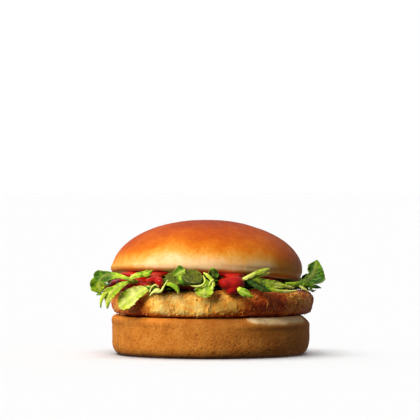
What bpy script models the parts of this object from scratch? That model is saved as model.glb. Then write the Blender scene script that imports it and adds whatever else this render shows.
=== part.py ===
"""Chicken burger: a sliced round bun with a breaded chicken patty, ketchup,
pickle slices and green leaf lettuce between its halves.

Frame: metres, +Z up.  The origin is the centre of the bottom bun's flat
underside, +X is the burger's right-hand side and -Y its front, the side on
which the crown is propped open a little over the filling.
Lengths below are written in millimetres and turned into metres by MM.
"""
import math

import bmesh
import bpy
from mathutils import Vector

MM = 0.001
CLEARANCE = 0.35          # air left between neighbouring pieces

# ---------------------------------------------------------------- bottom bun
HEEL_RADIUS = 50.2        # widest, at half height
HEEL_FOOT_RADIUS = 45.6   # flat underside
HEEL_HEIGHT = 20.0
HEEL_FOOT_ROUND = 6.0     # height of the rounded lower edge
HEEL_TOP_ROUND = 4.6      # height of the rounded upper edge
HEEL_TOP_INSET = 3.6      # how far the cut face steps in from the widest part
HEEL_TOP_INSET_SWING = 1.6  # extra inset on the right, less on the left

# -------------------------------------------------------------- chicken patty
PATTY_CENTRE_X = 0.5
PATTY_RADIUS = 51.4
PATTY_BOTTOM = HEEL_HEIGHT + CLEARANCE
PATTY_TOP = 32.4          # mean height of the upper face
PATTY_EDGE_ROUND = 4.8
PATTY_TOP_SLOPE = -0.03   # upper face rises towards the front

# ------------------------------------------------------------------ top bun
CROWN_CENTRE_X = -2.1
CROWN_RADIUS = 48.3
CROWN_CUT_Z = 38.7        # cut face at the crown's own axis
CROWN_SLOPE_X = -0.044    # cut face falls to the right
CROWN_SLOPE_Y = -0.088    # and rises to the front
CROWN_EDGE_ROUND = 3.5
CROWN_APEX_Z = 68.3
CROWN_APEX_SHIFT = 0.4    # apex to the right of the crown's own axis
CROWN_DOME_POWER = 2.0
CROWN_SHOULDER = 1.3      # the dome's shoulder swells to the right

# ------------------------------------------------------------------ fillings
KETCHUP_THICKNESS = 1.1
KETCHUP_RADIUS = 36.5
KETCHUP_CENTRE_Y = -7.0
DOLLOP = dict(at=(10.2, -49.5, 36.9), size=(6.6, 5.4, 6.8))
DROP = dict(at=(-26.2, -47.2, 38.7), size=(2.5, 3.3, 3.1))
BED_RADIUS = 31.0         # lettuce heaped between patty and ketchup
PICKLE_RADIUS = 5.2
PICKLE_THICKNESS = 1.9
LEAF_THICKNESS = 0.8
LOBE_DEPTH = 0.14         # share by which the blade's margin swings in and out
RUFFLE = 0.28             # share by which the margin waves up and down


# ------------------------------------------------------------ shape functions
def patty_radius(angle):
    """Outline of the patty: round, a few soft waves from the mould."""
    return PATTY_RADIUS * (1.0 + 0.008 * math.sin(2 * angle + 0.6)
                           + 0.007 * math.sin(5 * angle + 2.1)
                           + 0.005 * math.sin(9 * angle))


def patty_top(x, y):
    """Upper face of the patty, gently uneven."""
    wave = 0.35 * math.sin(0.11 * x + 0.4) * math.cos(0.13 * y + 1.0)
    return PATTY_TOP + PATTY_TOP_SLOPE * y + wave


def crown_cut(x, y):
    """Cut face of the crown, the plane that lies on the filling."""
    return CROWN_CUT_Z + CROWN_SLOPE_X * (x - CROWN_CENTRE_X) + CROWN_SLOPE_Y * y


def rounded_slab_distance(x, y, z, centre_x, radius, low, high, rounding):
    """Distance to a round slab with rounded rim, and the way out of it."""
    dx = x - centre_x
    r = math.hypot(dx, y)
    mid, half = 0.5 * (low + high), 0.5 * (high - low)
    qr = r - (radius - rounding)
    qz = abs(z - mid) - (half - rounding)
    distance = (math.hypot(max(qr, 0.0), max(qz, 0.0))
                + min(max(qr, qz), 0.0) - rounding)
    up = 1.0 if z >= mid else -1.0
    if qr > 0.0 and qz > 0.0:
        out = Vector((dx / r * qr, y / r * qr, up * qz))
    elif qr > qz:
        out = Vector((dx / r, y / r, 0.0))
    else:
        out = Vector((0.0, 0.0, up))
    return distance, out.normalized()


def clear_of_bread_and_meat(p, keep):
    """Lay a point of a leaf on the patty and under the crown."""
    for _ in range(4):
        angle = math.atan2(p.y, p.x - PATTY_CENTRE_X)
        d, out = rounded_slab_distance(
            p.x, p.y, p.z, PATTY_CENTRE_X, patty_radius(angle),
            PATTY_BOTTOM, patty_top(p.x, p.y), PATTY_EDGE_ROUND)
        if d < keep:
            p = p + out * (keep - d)
        cut = crown_cut(p.x, p.y)
        d, out = rounded_slab_distance(
            p.x, p.y, p.z, CROWN_CENTRE_X, CROWN_RADIUS,
            cut, cut + 14.0, CROWN_EDGE_ROUND)
        if d < keep:
            p = p + out * (keep - d)
    return p


# -------------------------------------------------------------- mesh helpers
def start():
    for group in (bpy.data.objects, bpy.data.meshes, bpy.data.materials,
                  bpy.data.curves):
        for item in list(group):
            group.remove(item)


def material(name, colour, roughness, metallic=0.0):
    mat = bpy.data.materials.new(name)
    mat.use_nodes = True
    shader = mat.node_tree.nodes["Principled BSDF"]
    shader.inputs["Base Color"].default_value = (*colour, 1.0)
    shader.inputs["Roughness"].default_value = roughness
    shader.inputs["Metallic"].default_value = metallic
    mat.diffuse_color = (*colour, 1.0)
    return mat


def finish(bm, name, mat, parent=None, smooth=math.radians(40)):
    bmesh.ops.remove_doubles(bm, verts=bm.verts, dist=0.00002 * MM)
    bmesh.ops.recalc_face_normals(bm, faces=bm.faces)
    mesh = bpy.data.meshes.new(name)
    bm.to_mesh(mesh)
    bm.free()
    mesh.materials.append(mat)
    mesh.shade_smooth()
    mesh.set_sharp_from_angle(angle=smooth)
    obj = bpy.data.objects.new(name, mesh)
    bpy.context.scene.collection.objects.link(obj)
    if parent is not None:
        obj.parent = parent
    return obj


def turned(profile, segments):
    """Spin a profile of (radius, height) in millimetres round +Z."""
    bm = bmesh.new()
    verts = [bm.verts.new((r * MM, 0.0, z * MM)) for r, z in profile]
    edges = [bm.edges.new(pair) for pair in zip(verts, verts[1:])]
    bmesh.ops.spin(bm, geom=verts + edges, cent=(0, 0, 0), axis=(0, 0, 1),
                   angle=2 * math.pi, steps=segments, use_merge=True)
    bmesh.ops.remove_doubles(bm, verts=bm.verts, dist=0.01 * MM)
    return bm


def reshape(bm, rule):
    """Move each vertex by a rule on (x, y, z) in millimetres."""
    for v in bm.verts:
        v.co = Vector(rule(*(v.co / MM))) * MM


# -------------------------------------------------------------------- pieces
def bottom_bun(mat, parent):
    """Heel of the bun: flat foot, upright rounded side, flat cut face."""
    profile = [(0.0, 0.0), (HEEL_FOOT_RADIUS * 0.55, 0.0), (HEEL_FOOT_RADIUS, 0.0)]
    for i in range(1, 5):
        a = math.radians(90 * i / 4)
        profile.append((HEEL_FOOT_RADIUS
                        + (HEEL_RADIUS - HEEL_FOOT_RADIUS) * math.sin(a) ** 0.9,
                        HEEL_FOOT_ROUND * (1 - math.cos(a))))
    profile.append((HEEL_RADIUS, 0.5 * (HEEL_FOOT_ROUND + HEEL_HEIGHT - HEEL_TOP_ROUND)))
    for i in range(0, 5):
        a = math.radians(90 * i / 4)
        profile.append((HEEL_RADIUS - HEEL_TOP_INSET * (1 - math.cos(a)),
                        HEEL_HEIGHT - HEEL_TOP_ROUND * (1 - math.sin(a))))
    profile += [(HEEL_RADIUS * 0.5, HEEL_HEIGHT), (0.0, HEEL_HEIGHT)]
    bm = turned(profile, 52)

    def rule(x, y, z):
        r = math.hypot(x, y)
        if r < 1e-6:
            return x, y, z
        angle = math.atan2(y, x)
        rise = max(0.0, (z - (HEEL_HEIGHT - HEEL_TOP_ROUND)) / HEEL_TOP_ROUND)
        inset = HEEL_TOP_INSET_SWING * x / r * rise * min(1.0, r / HEEL_RADIUS)
        wobble = 1.0 + 0.003 * math.sin(3 * angle + 0.7) + 0.002 * math.sin(5 * angle)
        new_r = (r - inset) * wobble
        return x / r * new_r, y / r * new_r, z
    reshape(bm, rule)
    return finish(bm, "bottom_bun", mat, parent)


def chicken_patty(mat, parent, name="chicken_patty", grow=0.0):
    """Breaded patty: round slab with a full rounded edge."""
    mid = 0.5 * (PATTY_BOTTOM + PATTY_TOP)
    half = 0.5 * (PATTY_TOP - PATTY_BOTTOM)
    profile = [(0.0, -1.0), (PATTY_RADIUS * 0.45, -1.0), (PATTY_RADIUS * 0.76, -1.0)]
    for i in range(0, 9):
        a = math.radians(-90 + 180 * i / 8)
        profile.append((PATTY_RADIUS - PATTY_EDGE_ROUND * (1 - math.cos(a)),
                        math.copysign((half - PATTY_EDGE_ROUND
                                       + PATTY_EDGE_ROUND * abs(math.sin(a))) / half,
                                      a) if i != 4 else 0.0))
    profile += [(PATTY_RADIUS * 0.76, 1.0), (PATTY_RADIUS * 0.45, 1.0), (0.0, 1.0)]
    bm = turned(profile, 54)

    def rule(x, y, s):
        angle = math.atan2(y, x)
        f = patty_radius(angle) / PATTY_RADIUS
        x, y = x * f + PATTY_CENTRE_X, y * f
        if s > 0:
            z = mid + s * (patty_top(x, y) - mid)
        else:
            z = mid + s * half
        return x, y, z
    reshape(bm, rule)
    if grow:
        bm.normal_update()
        bmesh.ops.recalc_face_normals(bm, faces=bm.faces)
        for v, shift in [(v, v.normal * grow * MM) for v in bm.verts]:
            v.co += shift
    return finish(bm, name, mat, parent)


def top_bun(mat, parent, name="top_bun", grow=0.0):
    """Crown of the bun: full dome over a flat cut face set askew."""
    rim = CROWN_EDGE_ROUND
    # height below 1 is measured up from the cut face in millimetres / rim,
    # from 1 to 2 it runs from the widest level to the apex
    profile = [(0.0, 0.0), (CROWN_RADIUS * 0.5, 0.0)]
    for i in range(0, 5):
        a = math.radians(90 * i / 4)
        profile.append((CROWN_RADIUS - rim * (1 - math.sin(a)), 1 - math.cos(a)))
    for i in range(1, 11):
        a = math.radians(90 * i / 10)
        h = math.sin(a) ** 1.06
        r = CROWN_RADIUS * (1 - h ** CROWN_DOME_POWER) ** (1 / CROWN_DOME_POWER)
        profile.append((max(r, 0.0), 1.0 + h))
    profile[-1] = (0.0, 2.0)
    bm = turned(profile, 52)

    def rule(x, y, s):
        angle = math.atan2(y, x)
        f = 1.0 + 0.003 * math.sin(2 * angle + 1.0) + 0.002 * math.sin(3 * angle)
        x, y = x * f + CROWN_CENTRE_X, y * f
        cut = crown_cut(x, y)
        if s <= 1.0:
            return x, y, cut + s * rim
        h = s - 1.0
        lean = CROWN_APEX_SHIFT * h + CROWN_SHOULDER * math.sin(math.pi * h ** 0.6)
        return x + lean, y, (cut + rim) * (1 - h) + CROWN_APEX_Z * h
    reshape(bm, rule)
    if grow:
        bm.normal_update()
        bmesh.ops.recalc_face_normals(bm, faces=bm.faces)
        for v, shift in [(v, v.normal * grow * MM) for v in bm.verts]:
            v.co += shift
    return finish(bm, name, mat, parent)


def ball(name, at, size, mat, parent=None):
    bm = bmesh.new()
    bmesh.ops.create_uvsphere(bm, u_segments=18, v_segments=10, radius=1.0)
    reshape_to = [(v, Vector((v.co.x * size[0] + at[0],
                              v.co.y * size[1] + at[1],
                              v.co.z * size[2] + at[2])) * MM) for v in bm.verts]
    for v, co in reshape_to:
        v.co = co
    return finish(bm, name, mat, parent)


def as_cutter(obj):
    obj.hide_render = True
    obj.display_type = "WIRE"
    return obj


def boolean(obj, other, operation):
    mod = obj.modifiers.new(other.name, "BOOLEAN")
    mod.operation = operation
    mod.object = other
    mod.solver = "EXACT"
    return mod


def ketchup(mat, parent, patty_cutter, crown_cutter):
    """Sauce spread under the crown, with a dollop and a drop squeezed out."""
    profile = [(0.0, 0.0), (0.5, 0.0), (0.93, 0.0), (1.0, 0.5), (0.93, 1.0),
               (0.5, 1.0), (0.0, 1.0)]
    bm = turned([(r * KETCHUP_RADIUS, s) for r, s in profile], 48)

    def rule(x, y, s):
        angle = math.atan2(y, x)
        f = 1.0 + 0.03 * math.sin(3 * angle + 0.4) + 0.02 * math.sin(7 * angle)
        x, y = x * f, y * f + KETCHUP_CENTRE_Y
        top = crown_cut(x, y) - CLEARANCE
        return x, y, top - (1.0 - s) * KETCHUP_THICKNESS
    reshape(bm, rule)
    sauce = finish(bm, "ketchup", mat, parent)
    for name, spec in (("ketchup_dollop", DOLLOP), ("ketchup_drop", DROP)):
        body = as_cutter(ball(name, spec["at"], spec["size"], mat, parent))
        boolean(sauce, body, "UNION")
        # a neck of sauce joins it to the spread under the crown
        x, y, z = spec["at"]
        inner = Vector((x * 0.72, y * 0.72, 0.0))
        inner.z = crown_cut(inner.x, inner.y) - CLEARANCE - 1.2
        outer = Vector((x, y, z + spec["size"][2] * 0.35))
        way = inner - outer
        neck_size = (min(3.4, spec["size"][0] * 0.7), way.length * 0.62, 1.25)
        mid = (inner + outer) * 0.5
        bm = bmesh.new()
        bmesh.ops.create_uvsphere(bm, u_segments=14, v_segments=8, radius=1.0)
        turn = way.to_track_quat("Y", "Z")
        for v in bm.verts:
            local = Vector((v.co.x * neck_size[0], v.co.y * neck_size[1],
                            v.co.z * neck_size[2]))
            v.co = (turn @ local + mid) * MM
        neck = as_cutter(finish(bm, name + "_neck", mat, parent))
        boolean(sauce, neck, "UNION")
    boolean(sauce, patty_cutter, "DIFFERENCE")
    boolean(sauce, crown_cutter, "DIFFERENCE")
    return sauce


def lettuce_bed(mat, parent):
    """Heap of torn lettuce that fills the middle, patty to ketchup."""
    profile = [(0.0, 0.0), (0.4, 0.0), (0.75, 0.0), (0.95, 0.12), (1.0, 0.5),
               (0.95, 0.88), (0.75, 1.0), (0.4, 1.0), (0.0, 1.0)]
    bm = turned([(r * BED_RADIUS, s) for r, s in profile], 40)

    def rule(x, y, s):
        angle = math.atan2(y, x)
        f = 1.0 + 0.015 * math.sin(5 * angle) + 0.012 * math.sin(11 * angle + 1.0)
        x, y = x * f, y * f
        low = patty_top(x, y) + CLEARANCE + 0.15
        high = crown_cut(x, y) - 2 * CLEARANCE - KETCHUP_THICKNESS - 0.1
        return x, y, low + s * (high - low)
    reshape(bm, rule)
    return finish(bm, "lettuce_bed", mat, parent)


def pickle_slice(name, mat, parent, at, lean, turn):
    """Round cross-cut of a gherkin, soft edges, leaning towards the front."""
    half = PICKLE_THICKNESS / 2
    profile = [(0.0, -half * 0.9), (PICKLE_RADIUS * 0.6, -half * 0.9),
               (PICKLE_RADIUS * 0.94, -half), (PICKLE_RADIUS, -half * 0.45),
               (PICKLE_RADIUS, half * 0.45), (PICKLE_RADIUS * 0.94, half),
               (PICKLE_RADIUS * 0.6, half * 0.9), (0.0, half * 0.9)]
    bm = turned(profile, 20)
    obj = finish(bm, name, mat, parent)
    obj.location = Vector(at) * MM
    obj.rotation_euler = (math.radians(lean), math.radians(turn), 0.0)
    return obj


# ------------------------------------------------------------- lettuce leaves
# Each leaf: the stations its midrib passes through (mm) with the blade's
# half-width there, and which way its face looks at the tip.
LEAVES = {
    "lettuce_left_long": dict(
        stations=((-18, -27, 37.4, 1.2), (-33, -38.5, 37.8, 1.3), (-42, -40.5, 40.0, 1.5),
                  (-49.2, -34.6, 40.9, 2.2), (-54.9, -28.2, 40.0, 3.6),
                  (-56.3, -26, 36.2, 3.6), (-55.3, -25.2, 32.6, 0.8)),
        face=(-0.4, -0.9, 0.25), cup=0.3),
    "lettuce_left_feathery": dict(
        stations=((-28, -20, 35.0, 1.2), (-38.5, -33.5, 35.6, 1.4), (-45.5, -37.6, 34.8, 2.0),
                  (-50, -35.6, 32.0, 3.0), (-51.6, -34.6, 28.4, 1.9), (-51.6, -34.2, 24.8, 0.6)),
        face=(-0.5, -0.85, 0.1), cup=0.2),
    "lettuce_left_round": dict(
        stations=((-21, -30, 34.6, 1.2), (-27.5, -41.5, 35.2, 1.5), (-32.5, -43.8, 34.4, 2.2),
                  (-37, -42.4, 32.2, 3.4), (-40.7, -39.8, 29.4, 4.0), (-44.6, -36.4, 25.8, 1.6)),
        face=(-0.4, -0.92, 0.12), cup=0.15),
    "lettuce_left_small": dict(
        stations=((-25.5, -31.5, 40.9, 0.8), (-32.5, -40.5, 40.9, 1.0), (-35.6, -44.2, 41.5, 1.3),
                  (-32.6, -46.2, 42.4, 1.5), (-28.8, -48, 43.7, 0.5)),
        face=(-0.1, -0.96, 0.2), cup=0.2),
    "lettuce_front_curl": dict(
        stations=((-19.5, -33, 34.4, 1.2), (-22.6, -46.5, 34.5, 1.2), (-24.6, -52.2, 34.0, 1.2),
                  (-27.4, -52.6, 33.4, 1.3), (-30, -51.4, 31.6, 0.5)),
        face=(-0.1, -0.98, 0.2), cup=0.2),
    "lettuce_front_strip": dict(
        stations=((-12.5, -32, 34.5, 1.2), (-17.4, -46.4, 34.5, 1.3), (-18.3, -51.2, 34.0, 1.2),
                  (-18.6, -54.6, 34.7, 1.2), (-16.8, -54.9, 34.0, 1.3),
                  (-15.9, -54.4, 32.4, 0.6)),
        face=(0.0, -0.98, 0.2), cup=0.2),
    "lettuce_front_behind": dict(
        stations=((-17.1, -49.0, 42.0, 1.6), (-17.1, -49.7, 43.2, 2.1), (-16.9, -50.3, 44.8, 2.2),
                  (-16.4, -50.6, 46.7, 0.8)),
        face=(0.0, -0.98, 0.2), cup=0.1),
    "lettuce_front_cup": dict(
        stations=((-3.0, -33, 35.2, 1.6), (-3.2, -44.5, 35.6, 2.2), (-2.9, -51.8, 36.2, 3.4),
                  (-2.9, -54.6, 34.6, 4.2), (-2.8, -54.9, 32.8, 3.6), (-2.7, -54.5, 30.6, 1.4)),
        face=(-0.05, -0.98, 0.1), cup=0.2),
    "lettuce_front_dark": dict(
        stations=((0.2, -33, 38.6, 1.4), (0.4, -44.2, 39.9, 1.7), (0.9, -49.6, 41.4, 2.2),
                  (1.2, -50.8, 43.0, 2.3), (0.8, -51.3, 45.0, 0.8)),
        face=(0.0, -0.96, 0.25), cup=0.2),
    "lettuce_right_strip": dict(
        stations=((16, -29, 37.6, 1.3), (19.4, -44.2, 39.6, 1.3), (21.0, -49.2, 41.2, 1.4),
                  (24.2, -48.8, 42.8, 1.4), (29.4, -45.6, 44.3, 0.8)),
        face=(0.2, -0.95, 0.25), cup=0.2),
    "lettuce_front_small": dict(
        stations=((17.5, -33, 34.8, 1.5), (18.4, -45.8, 34.8, 1.7), (18.3, -52.8, 34.4, 1.7),
                  (18.8, -54.2, 33.0, 1.6), (20.2, -53.9, 31.2, 0.6)),
        face=(0.1, -0.98, 0.2), cup=0.2),
    "lettuce_right_dark": dict(
        stations=((23, -27, 35.0, 1.6), (24.8, -41.5, 36.4, 1.9), (28.0, -45.8, 37.0, 2.2),
                  (33.2, -44, 36.4, 2.3), (37.6, -41.4, 35.8, 1.5), (41.6, -38.4, 35.0, 0.6)),
        face=(0.3, -0.9, 0.3), cup=0.2),
    "lettuce_right_lobe": dict(
        stations=((29.5, -18, 34.6, 1.4), (39.5, -29.5, 35.2, 1.6), (46, -30.6, 36.6, 1.8),
                  (49.6, -28.4, 38.2, 2.6), (52.4, -26.4, 40.6, 4.2), (53.0, -25.4, 43.2, 4.4),
                  (53.3, -24.9, 46.2, 2.8), (53.5, -24.7, 48.6, 0.6)),
        face=(0.05, -0.97, 0.2), cup=0.2),
}


def back_leaves():
    """Leaves round the sides and the back, fanned at even steps."""
    leaves = {}
    fan = (("lettuce_right_side", 3, 3.8, 51.4, -1.0),
           ("lettuce_back_right", 34, 8.0, 55.5, 3.0),
           ("lettuce_back_right_inner", 62, 7.4, 57.0, -4.0),
           ("lettuce_back_middle", 90, 8.4, 56.0, 2.5),
           ("lettuce_back_left_inner", 118, 7.4, 57.5, -4.5),
           ("lettuce_back_left", 146, 8.2, 57.0, 2.0),
           ("lettuce_left_side", 177, 7.2, 55.5, -3.0))
    for index, (name, angle, width, reach, lift) in enumerate(fan):
        a = math.radians(angle)
        out = Vector((math.cos(a), math.sin(a), 0.0))
        skew = Vector((-out.y, out.x, 0.0)) * (1.5 if index % 2 else -1.5)
        stations = []
        for radius, share in ((33.0, 0.0), (40.0, 0.0), (46.5, 0.0), (reach, 1.0)):
            p = out * radius + skew * (radius / 50.0) ** 2
            z = max(patty_top(p.x, p.y) + 1.0,
                    0.5 * (patty_top(p.x, p.y) + crown_cut(p.x, p.y)) - 0.9)
            stations.append((p.x, p.y, z + share * lift))
        tip = Vector(stations[-1]) + out * 1.2 + Vector((0, 0, 0.8 * lift))
        stations.append(tuple(tip))
        leaves[name] = dict(stations=tuple(stations), width=width, root=0.4,
                            face=tuple(out * 0.45 + Vector((0, 0, 0.9))), cup=0.3)
    return leaves


def along(stations, t):
    """Point at t (0..1) on a smooth curve through the stations."""
    pts = [Vector(s) for s in stations]
    pts = [pts[0] * 2 - pts[1]] + pts + [pts[-1] * 2 - pts[-2]]
    u = min(max(t, 0.0), 1.0) * (len(stations) - 1)
    i = min(int(u), len(stations) - 2)
    u -= i
    a, b, c, d = pts[i:i + 4]
    return 0.5 * ((2 * b) + (c - a) * u + (2 * a - 5 * b + 4 * c - d) * u * u
                  + (3 * b - a - 3 * c + d) * u ** 3)


def blade_width(t, root):
    """Half-width along a leaf: narrow stalk, full blade, rounded tip."""
    swell = 0.5 - 0.5 * math.cos(math.pi * min(1.0, t / 0.62))
    tip = math.sqrt(max(0.0, 1.0 - max(0.0, (t - 0.62) / 0.38) ** 2.4))
    return (root + (1 - root) * swell) * (0.28 + 0.72 * tip)


def lettuce_leaf(name, spec, mat, parent, steps=11):
    """A leaf as a bent, cupped and ruffled blade of even thickness."""
    phase = 1.7 * len(name)
    bm = bmesh.new()
    bmesh.ops.create_grid(bm, x_segments=2, y_segments=steps, size=1.0)
    face_root = Vector((0.0, 0.0, 1.0))
    face_tip = Vector(spec["face"]).normalized()
    keep = LEAF_THICKNESS / 2 + CLEARANCE + 0.1
    for v in bm.verts:
        side, t = round(v.co.x), (v.co.y + 1) / 2
        here = along(spec["stations"], t)
        ahead = (along(spec["stations"], t + 0.02)
                 - along(spec["stations"], t - 0.02)).to_3d().normalized()
        blend = max(0.0, min(1.0, (t - 0.25) / 0.5))
        face = face_root.lerp(face_tip, blend * blend * (3 - 2 * blend))
        face = (face - ahead * face.dot(ahead)).normalized()
        across = ahead.cross(face)
        half = (spec["width"] * blade_width(t, spec["root"]) if "width" in spec
                else max(0.4, here.w))
        half *= 1.0 + LOBE_DEPTH * math.sin(2 * math.pi * 2.4 * t + 1.3 * side + phase)
        curl = (0.5 * spec["cup"]
                + RUFFLE * blend * math.sin(2 * math.pi * 2.1 * t + 0.9 * side + phase))
        p = (here.to_3d() + across * (side * half)
             + face * (curl * half * side * side))
        v.co = clear_of_bread_and_meat(p, keep) * MM
    obj = finish(bm, name, mat, parent)
    thick = obj.modifiers.new("thickness", "SOLIDIFY")
    thick.thickness = LEAF_THICKNESS * MM
    thick.offset = 0.0
    return obj


def build():
    start()
    crust = material("bun_crust", (0.56, 0.24, 0.07), 0.42)
    heel_crust = material("bun_heel_crust", (0.50, 0.26, 0.10), 0.7)
    breading = material("chicken_breading", (0.62, 0.27, 0.06), 0.6)
    red = material("ketchup", (0.36, 0.015, 0.01), 0.12)
    gherkin = material("pickle", (0.20, 0.22, 0.05), 0.2)
    green = material("lettuce", (0.20, 0.36, 0.05), 0.45)

    burger = bpy.data.objects.new("burger", None)
    bpy.context.scene.collection.objects.link(burger)

    bottom_bun(heel_crust, burger)
    chicken_patty(breading, burger)
    top_bun(crust, burger)
    patty_cutter = as_cutter(chicken_patty(breading, burger, "patty_clearance",
                                           CLEARANCE + 0.05))
    crown_cutter = as_cutter(top_bun(crust, burger, "crown_clearance",
                                     CLEARANCE - 0.05))
    ketchup(red, burger, patty_cutter, crown_cutter)
    pickle_slice("pickle_slice_left", gherkin, burger, (-17.6, -48.2, 39.5), 44, -5)
    pickle_slice("pickle_slice_right", gherkin, burger, (-9.1, -51.2, 40.6), 49, 7)
    lettuce_bed(green, burger)
    leaves = dict(LEAVES)
    leaves.update(back_leaves())
    for name, spec in leaves.items():
        lettuce_leaf(name, spec, green, burger)


build()
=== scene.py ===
import math

import bpy
import numpy as np
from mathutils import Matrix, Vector


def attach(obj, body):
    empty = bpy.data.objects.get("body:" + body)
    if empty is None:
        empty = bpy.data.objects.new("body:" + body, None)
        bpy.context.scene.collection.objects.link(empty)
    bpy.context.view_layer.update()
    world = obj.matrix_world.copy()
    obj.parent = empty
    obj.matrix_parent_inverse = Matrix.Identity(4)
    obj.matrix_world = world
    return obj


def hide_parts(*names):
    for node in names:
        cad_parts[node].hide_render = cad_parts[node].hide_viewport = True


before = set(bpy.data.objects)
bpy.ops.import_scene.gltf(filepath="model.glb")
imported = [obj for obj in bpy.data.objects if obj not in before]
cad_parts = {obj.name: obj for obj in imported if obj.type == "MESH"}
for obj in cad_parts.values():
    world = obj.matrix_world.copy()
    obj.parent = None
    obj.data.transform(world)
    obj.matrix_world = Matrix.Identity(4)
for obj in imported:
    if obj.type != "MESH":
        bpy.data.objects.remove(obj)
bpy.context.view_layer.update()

MM = 0.001
PI = math.pi

# ------------------------------------------------------------------ dimensions
# millimetres, the same reference surfaces as the frame's solids
HEEL_RADIUS, HEEL_FOOT_RADIUS, HEEL_HEIGHT = 50.2, 45.6, 20.0
HEEL_FOOT_ROUND, HEEL_TOP_ROUND = 6.0, 4.6
HEEL_TOP_INSET, HEEL_TOP_INSET_SWING = 3.6, 1.6
CLEARANCE = 0.35
PATTY_CENTRE_X, PATTY_RADIUS = 0.5, 51.4
PATTY_BOTTOM, PATTY_TOP = HEEL_HEIGHT + CLEARANCE, 32.4
PATTY_EDGE_ROUND, PATTY_TOP_SLOPE = 4.8, -0.03
CROWN_CENTRE_X, CROWN_RADIUS, CROWN_CUT_Z = -2.1, 48.3, 38.7
CROWN_SLOPE_X, CROWN_SLOPE_Y = -0.044, -0.088
CROWN_EDGE_ROUND, CROWN_APEX_Z, CROWN_APEX_SHIFT = 3.5, 68.3, 0.4
CROWN_DOME_POWER = 2.0
CROWN_SHOULDER = 1.3


# ----------------------------------------------------------------------- noise
def _hash(ix, iy, iz, seed):
    h = (ix.astype(np.int64) * 374761393 + iy.astype(np.int64) * 668265263
         + iz.astype(np.int64) * 2147483629 + seed * 1274126177) & 0xFFFFFFFF
    h = ((h ^ (h >> 13)) * 1274126177) & 0xFFFFFFFF
    h = ((h ^ (h >> 15)) * 2246822519) & 0xFFFFFFFF
    return ((h ^ (h >> 16)) & 0xFFFFFF) / float(0xFFFFFF)


def noise(p, size, seed=0):
    """Smooth value noise, -1..1, with features of the given size in mm."""
    q = np.asarray(p) / size
    i = np.floor(q)
    f = q - i
    u = f * f * f * (f * (f * 6 - 15) + 10)
    x, y, z = i[..., 0], i[..., 1], i[..., 2]
    out = 0.0
    for dx in (0, 1):
        wx = u[..., 0] if dx else 1 - u[..., 0]
        for dy in (0, 1):
            wy = u[..., 1] if dy else 1 - u[..., 1]
            for dz in (0, 1):
                wz = u[..., 2] if dz else 1 - u[..., 2]
                out = out + wx * wy * wz * _hash(x + dx, y + dy, z + dz, seed)
    return out * 2 - 1


def fbm(p, size, octaves=4, seed=0, gain=0.5):
    total, amp, norm = 0.0, 1.0, 0.0
    for k in range(octaves):
        total = total + amp * noise(p, size / 2 ** k, seed + 17 * k)
        norm += amp
        amp *= gain
    return total / norm


def cells(p, size, seed=0):
    """Distance to the nearest scattered point, in cell sizes, and its own number."""
    q = np.asarray(p) / size
    i = np.floor(q)
    f = q - i
    best = np.full(q.shape[:-1], 9.0)
    tag = np.zeros(q.shape[:-1])
    for dx in (-1, 0, 1):
        for dy in (-1, 0, 1):
            for dz in (-1, 0, 1):
                x, y, z = i[..., 0] + dx, i[..., 1] + dy, i[..., 2] + dz
                d = ((dx + _hash(x, y, z, seed) - f[..., 0]) ** 2
                     + (dy + _hash(x, y, z, seed + 1) - f[..., 1]) ** 2
                     + (dz + _hash(x, y, z, seed + 2) - f[..., 2]) ** 2)
                near = d < best
                best = np.where(near, d, best)
                tag = np.where(near, _hash(x, y, z, seed + 3), tag)
    return np.sqrt(best), tag


def smooth(lo, hi, x):
    t = np.clip((x - lo) / (hi - lo), 0.0, 1.0)
    return t * t * (3 - 2 * t)


# ------------------------------------------------------- reference surfaces
def patty_radius(angle):
    return PATTY_RADIUS * (1.0 + 0.008 * np.sin(2 * angle + 0.6)
                           + 0.007 * np.sin(5 * angle + 2.1)
                           + 0.005 * np.sin(9 * angle))


def patty_top(x, y):
    return (PATTY_TOP + PATTY_TOP_SLOPE * y
            + 0.35 * np.sin(0.11 * x + 0.4) * np.cos(0.13 * y + 1.0))


def crown_cut(x, y):
    return CROWN_CUT_Z + CROWN_SLOPE_X * (x - CROWN_CENTRE_X) + CROWN_SLOPE_Y * y


def slab_push(p, centre_x, radius, low, high, rounding, keep):
    """Move points out of a round slab with a rounded rim, to a distance."""
    dx = p[..., 0] - centre_x
    y = p[..., 1]
    r = np.maximum(np.hypot(dx, y), 1e-6)
    mid, half = 0.5 * (low + high), 0.5 * (high - low)
    qr = r - (radius - rounding)
    qz = np.abs(p[..., 2] - mid) - (half - rounding)
    d = (np.hypot(np.maximum(qr, 0), np.maximum(qz, 0))
         + np.minimum(np.maximum(qr, qz), 0) - rounding)
    up = np.where(p[..., 2] >= mid, 1.0, -1.0)
    corner = (qr > 0) & (qz > 0)
    ln = np.maximum(np.hypot(qr, qz), 1e-9)
    nr = np.where(corner, qr / ln, np.where(qr > qz, 1.0, 0.0))
    nz = np.where(corner, qz / ln, np.where(qr > qz, 0.0, 1.0)) * up
    n = np.stack([dx / r * nr, y / r * nr, nz], -1)
    move = np.maximum(keep - d, 0.0)
    return p + n * move[..., None]


def clear_of_bread_and_meat(p, keep):
    for _ in range(5):
        a = np.arctan2(p[..., 1], p[..., 0] - PATTY_CENTRE_X)
        p = slab_push(p, PATTY_CENTRE_X, patty_radius(a), PATTY_BOTTOM,
                      patty_top(p[..., 0], p[..., 1]), PATTY_EDGE_ROUND, keep + 0.15)
        cut = crown_cut(p[..., 0], p[..., 1])
        p = slab_push(p, CROWN_CENTRE_X, CROWN_RADIUS, cut, cut + 14.0,
                      CROWN_EDGE_ROUND, keep)
    return p


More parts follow.
